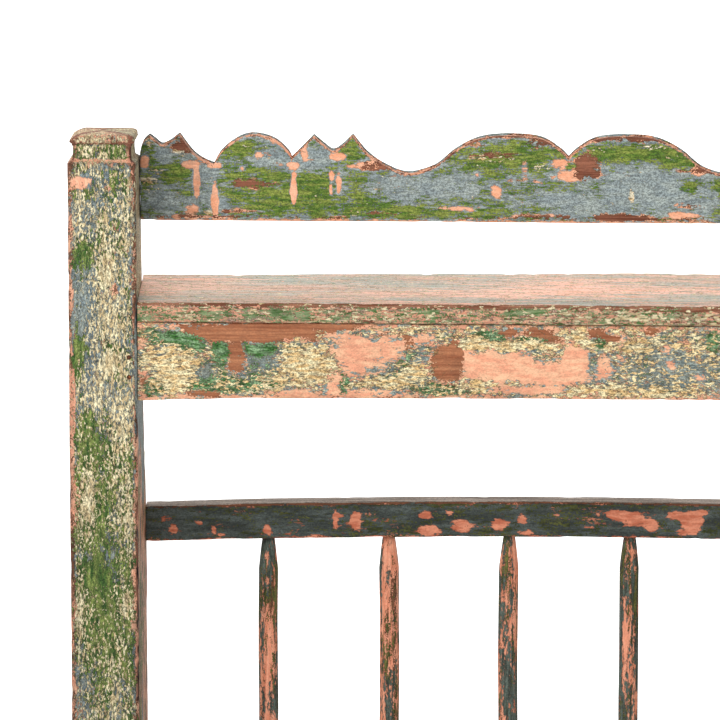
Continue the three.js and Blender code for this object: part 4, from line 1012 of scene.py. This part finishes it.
def seat_plank(index):
    """A board with a shallow hollow worn in its middle. The rearmost one is notched round the
    posts: its back edge steps out at both of them."""
    (_, half), (low_y, high_y), (bottom, top) = box_mm(f"seat_plank_{index}")
    stations, drawn_in = worn_ends(-half, half, 6.0, 1.6)
    back = np.full(len(stations), low_y)
    if index == 1:
        notch = POST_INNER + JOINT_GAP
        corners = [-notch - 0.05, -notch + 0.05, notch - 0.05, notch + 0.05]
        stations = np.concatenate([stations, corners])
        drawn_in = np.concatenate([drawn_in, np.zeros(4)])
        order = np.argsort(stations)
        stations, drawn_in = stations[order], drawn_in[order]
        back = np.where(np.abs(stations) > notch, post_front, low_y)
    points, faces, outward, near = swept_bar(
        (0, 1, 2), stations, back + drawn_in, high_y - drawn_in,
        bottom + drawn_in, top - drawn_in, 2.4, 5.0)
    points = handled(points, outward, near, 1300 + index * 10, 0.35, 1.2)
    on_top = np.clip(outward[:, 2] * 2, 0, 1)
    span = np.abs(points[:, 0]) / half
    hollow = on_top * np.clip(1 - span ** 2 * 1.3, 0, 1)
    points[:, 2] -= hollow * (0.9 if index in (2, 3) else 0.5)
    sat = on_top * np.clip(1.25 - span * 1.25, 0, 1)

    def coat(base, step, sat_off):
        left = coverage(points, outward, base, 0.3, 1340 + index * 10 + step, (), (120, 20, 20))
        return left - sat * sat_off - near * 0.5

    fields = {
        "primer": coat(0.85, 0, 0.75),
        "slate": coat(0.5, 1, 0.75),
        "green": coat(0.5, 2, 0.7),
        "cream": coat(0.35, 3, 0.7),
        "soil_and_shade": 0.2 - 0.1 * sat,
    }
    return make_piece(f"worn_seat_plank_{index}", points, faces, fields, seat_wood,
                      [f"seat_plank_{index}"])


for index in range(1, 5):
    seat_plank(index)


# ---------------------------------------------------------------- pegs and nails
# Oak pegs cut off flush lock the tenons; their end grain shows as small brown rounds. Forged nails
# hold the apron and the seat boards, and have rusted dark.
peg_wood = flaked_paint("end_grain_of_pegs", 2, ("#54301f", "#8f5a3e"), [
    paint_coat("primer", PRIMER, (5, 5), 0.6, 0.4),
], wood_scale=(2.0, 1.2))
rusty_iron = flaked_paint("rusted_forged_iron", 2, ("#2b1c16", "#5d3524"), [
    paint_coat("primer", ("#7a4127", "#a35b34"), (2.5, 2.5), 0.7, 0.5),
], wood_scale=(1.6, 1.6))
HEAD_SIDES = 14


def round_heads(name, places, facing, radius, proud, material, nodes, seed):
    """Low domes: rings of HEAD_SIDES points whose height falls as the square of the distance from
    the middle, with a short skirt sunk in the wood. places are their centres in millimetres, and
    facing is the unit direction that they look."""
    facing = np.asarray(facing, float)
    side = np.cross(facing, [0.0, 0.0, 1.0]) if abs(facing[2]) < 0.9 else np.array([1.0, 0.0, 0.0])
    up = np.cross(facing, side)
    share = np.array([0.25, 0.55, 0.8, 0.95, 1.0, 1.0])
    rise = proud * (1 - share ** 2 * 0.75)
    rise[-1] = -1.5
    angle = np.linspace(0, 2 * np.pi, HEAD_SIDES, endpoint=False)
    spin = np.cos(angle)[:, None] * side + np.sin(angle)[:, None] * up
    dome = (radius * share[:, None, None] * spin + rise[:, None, None] * facing).reshape(-1, 3)
    last = (len(share) - 1) * HEAD_SIDES
    cell = ring_quads(len(share), HEAD_SIDES)[:, [0, 3, 2, 1]]
    all_points, quads, ends = [], [], []
    for number, centre in enumerate(np.atleast_2d(places)):
        first = number * len(dome)
        all_points.append(dome + centre)
        quads.append(cell + first)
        ends += [first + np.arange(HEAD_SIDES), first + last + np.arange(HEAD_SIDES)[::-1]]
    points = np.vstack(all_points)
    outward = np.broadcast_to(facing, points.shape)
    fields = {
        "primer": coverage(points, outward, 0.3, 0.3, seed, (), 9),
        "soil_and_shade": np.full(len(points), 0.1),
    }
    return make_piece(name, points, (np.vstack(quads), ends), fields, material, nodes)


def head_on_face(kind, node, axis, sign, level, radius, proud, material, seed):
    """One round head for a peg or nail: on the node's own line, at `level` along the axis."""
    place = np.array([(low + high) / 2 for low, high in box_mm(node)])
    place[axis] = level
    facing = np.zeros(3)
    facing[axis] = sign
    round_heads(f"{kind}_of_{node}", place, facing, radius, proud, material, [node], seed)


for side, sign in (("left", -1), ("right", 1)):
    post_pegs = ("crest_peg", "upper_rail_peg", "lower_rail_peg", "rear_seat_rail_peg")
    for number, kind in enumerate(post_pegs):
        node = f"{kind}_{side}"
        peg_low, peg_high = box_mm(node)[2]
        face = post_front_at((peg_low + peg_high) / 2) + 0.1
        head_on_face("end", node, 1, 1, face, 3.4, 0.7, peg_wood, 1500 + number)
    head_on_face("end", f"front_seat_rail_peg_{side}", 1, 1, leg_front, 2.5, 0.7,
                 peg_wood, 1510)
    outer_pegs = (f"side_rail_peg_{side}_rear", f"arm_peg_{side}_rear", f"arm_peg_{side}_front")
    for number, node in enumerate(outer_pegs):
        face = sign * cad_high.x * 1000
        head_on_face("end", node, 0, sign, face, 3.4, 0.7, peg_wood, 1520 + number)
    for number, level in enumerate(("upper", "lower")):
        head_on_face("head", f"apron_nail_{side}_{level}", 1, -1, BACK_Y * 1000, 2.3, 0.6,
                     rusty_iron, 1530 + number)

# Two nails in every board over each side rail and over the bearer, clear of the posts and legs.
nail_places = []
for index in range(1, 5):
    _, (low_y, high_y), (_, top) = box_mm(f"seat_plank_{index}")
    for x in (-leg_inner + 4, -18.0, 18.0, leg_inner - 4):
        for share in (0.3, 0.72):
            y = low_y + (high_y - low_y) * share
            if index == 1:
                y = max(y, post_front + 14)
            if index == 4 and abs(x) > 100:
                y = min(y, leg_back - 10)
            nail_places.append((x, y, top - 0.9))
round_heads("seat_nails", nail_places, (0, 0, 1), 3.0, 0.9, rusty_iron, [], 1600)
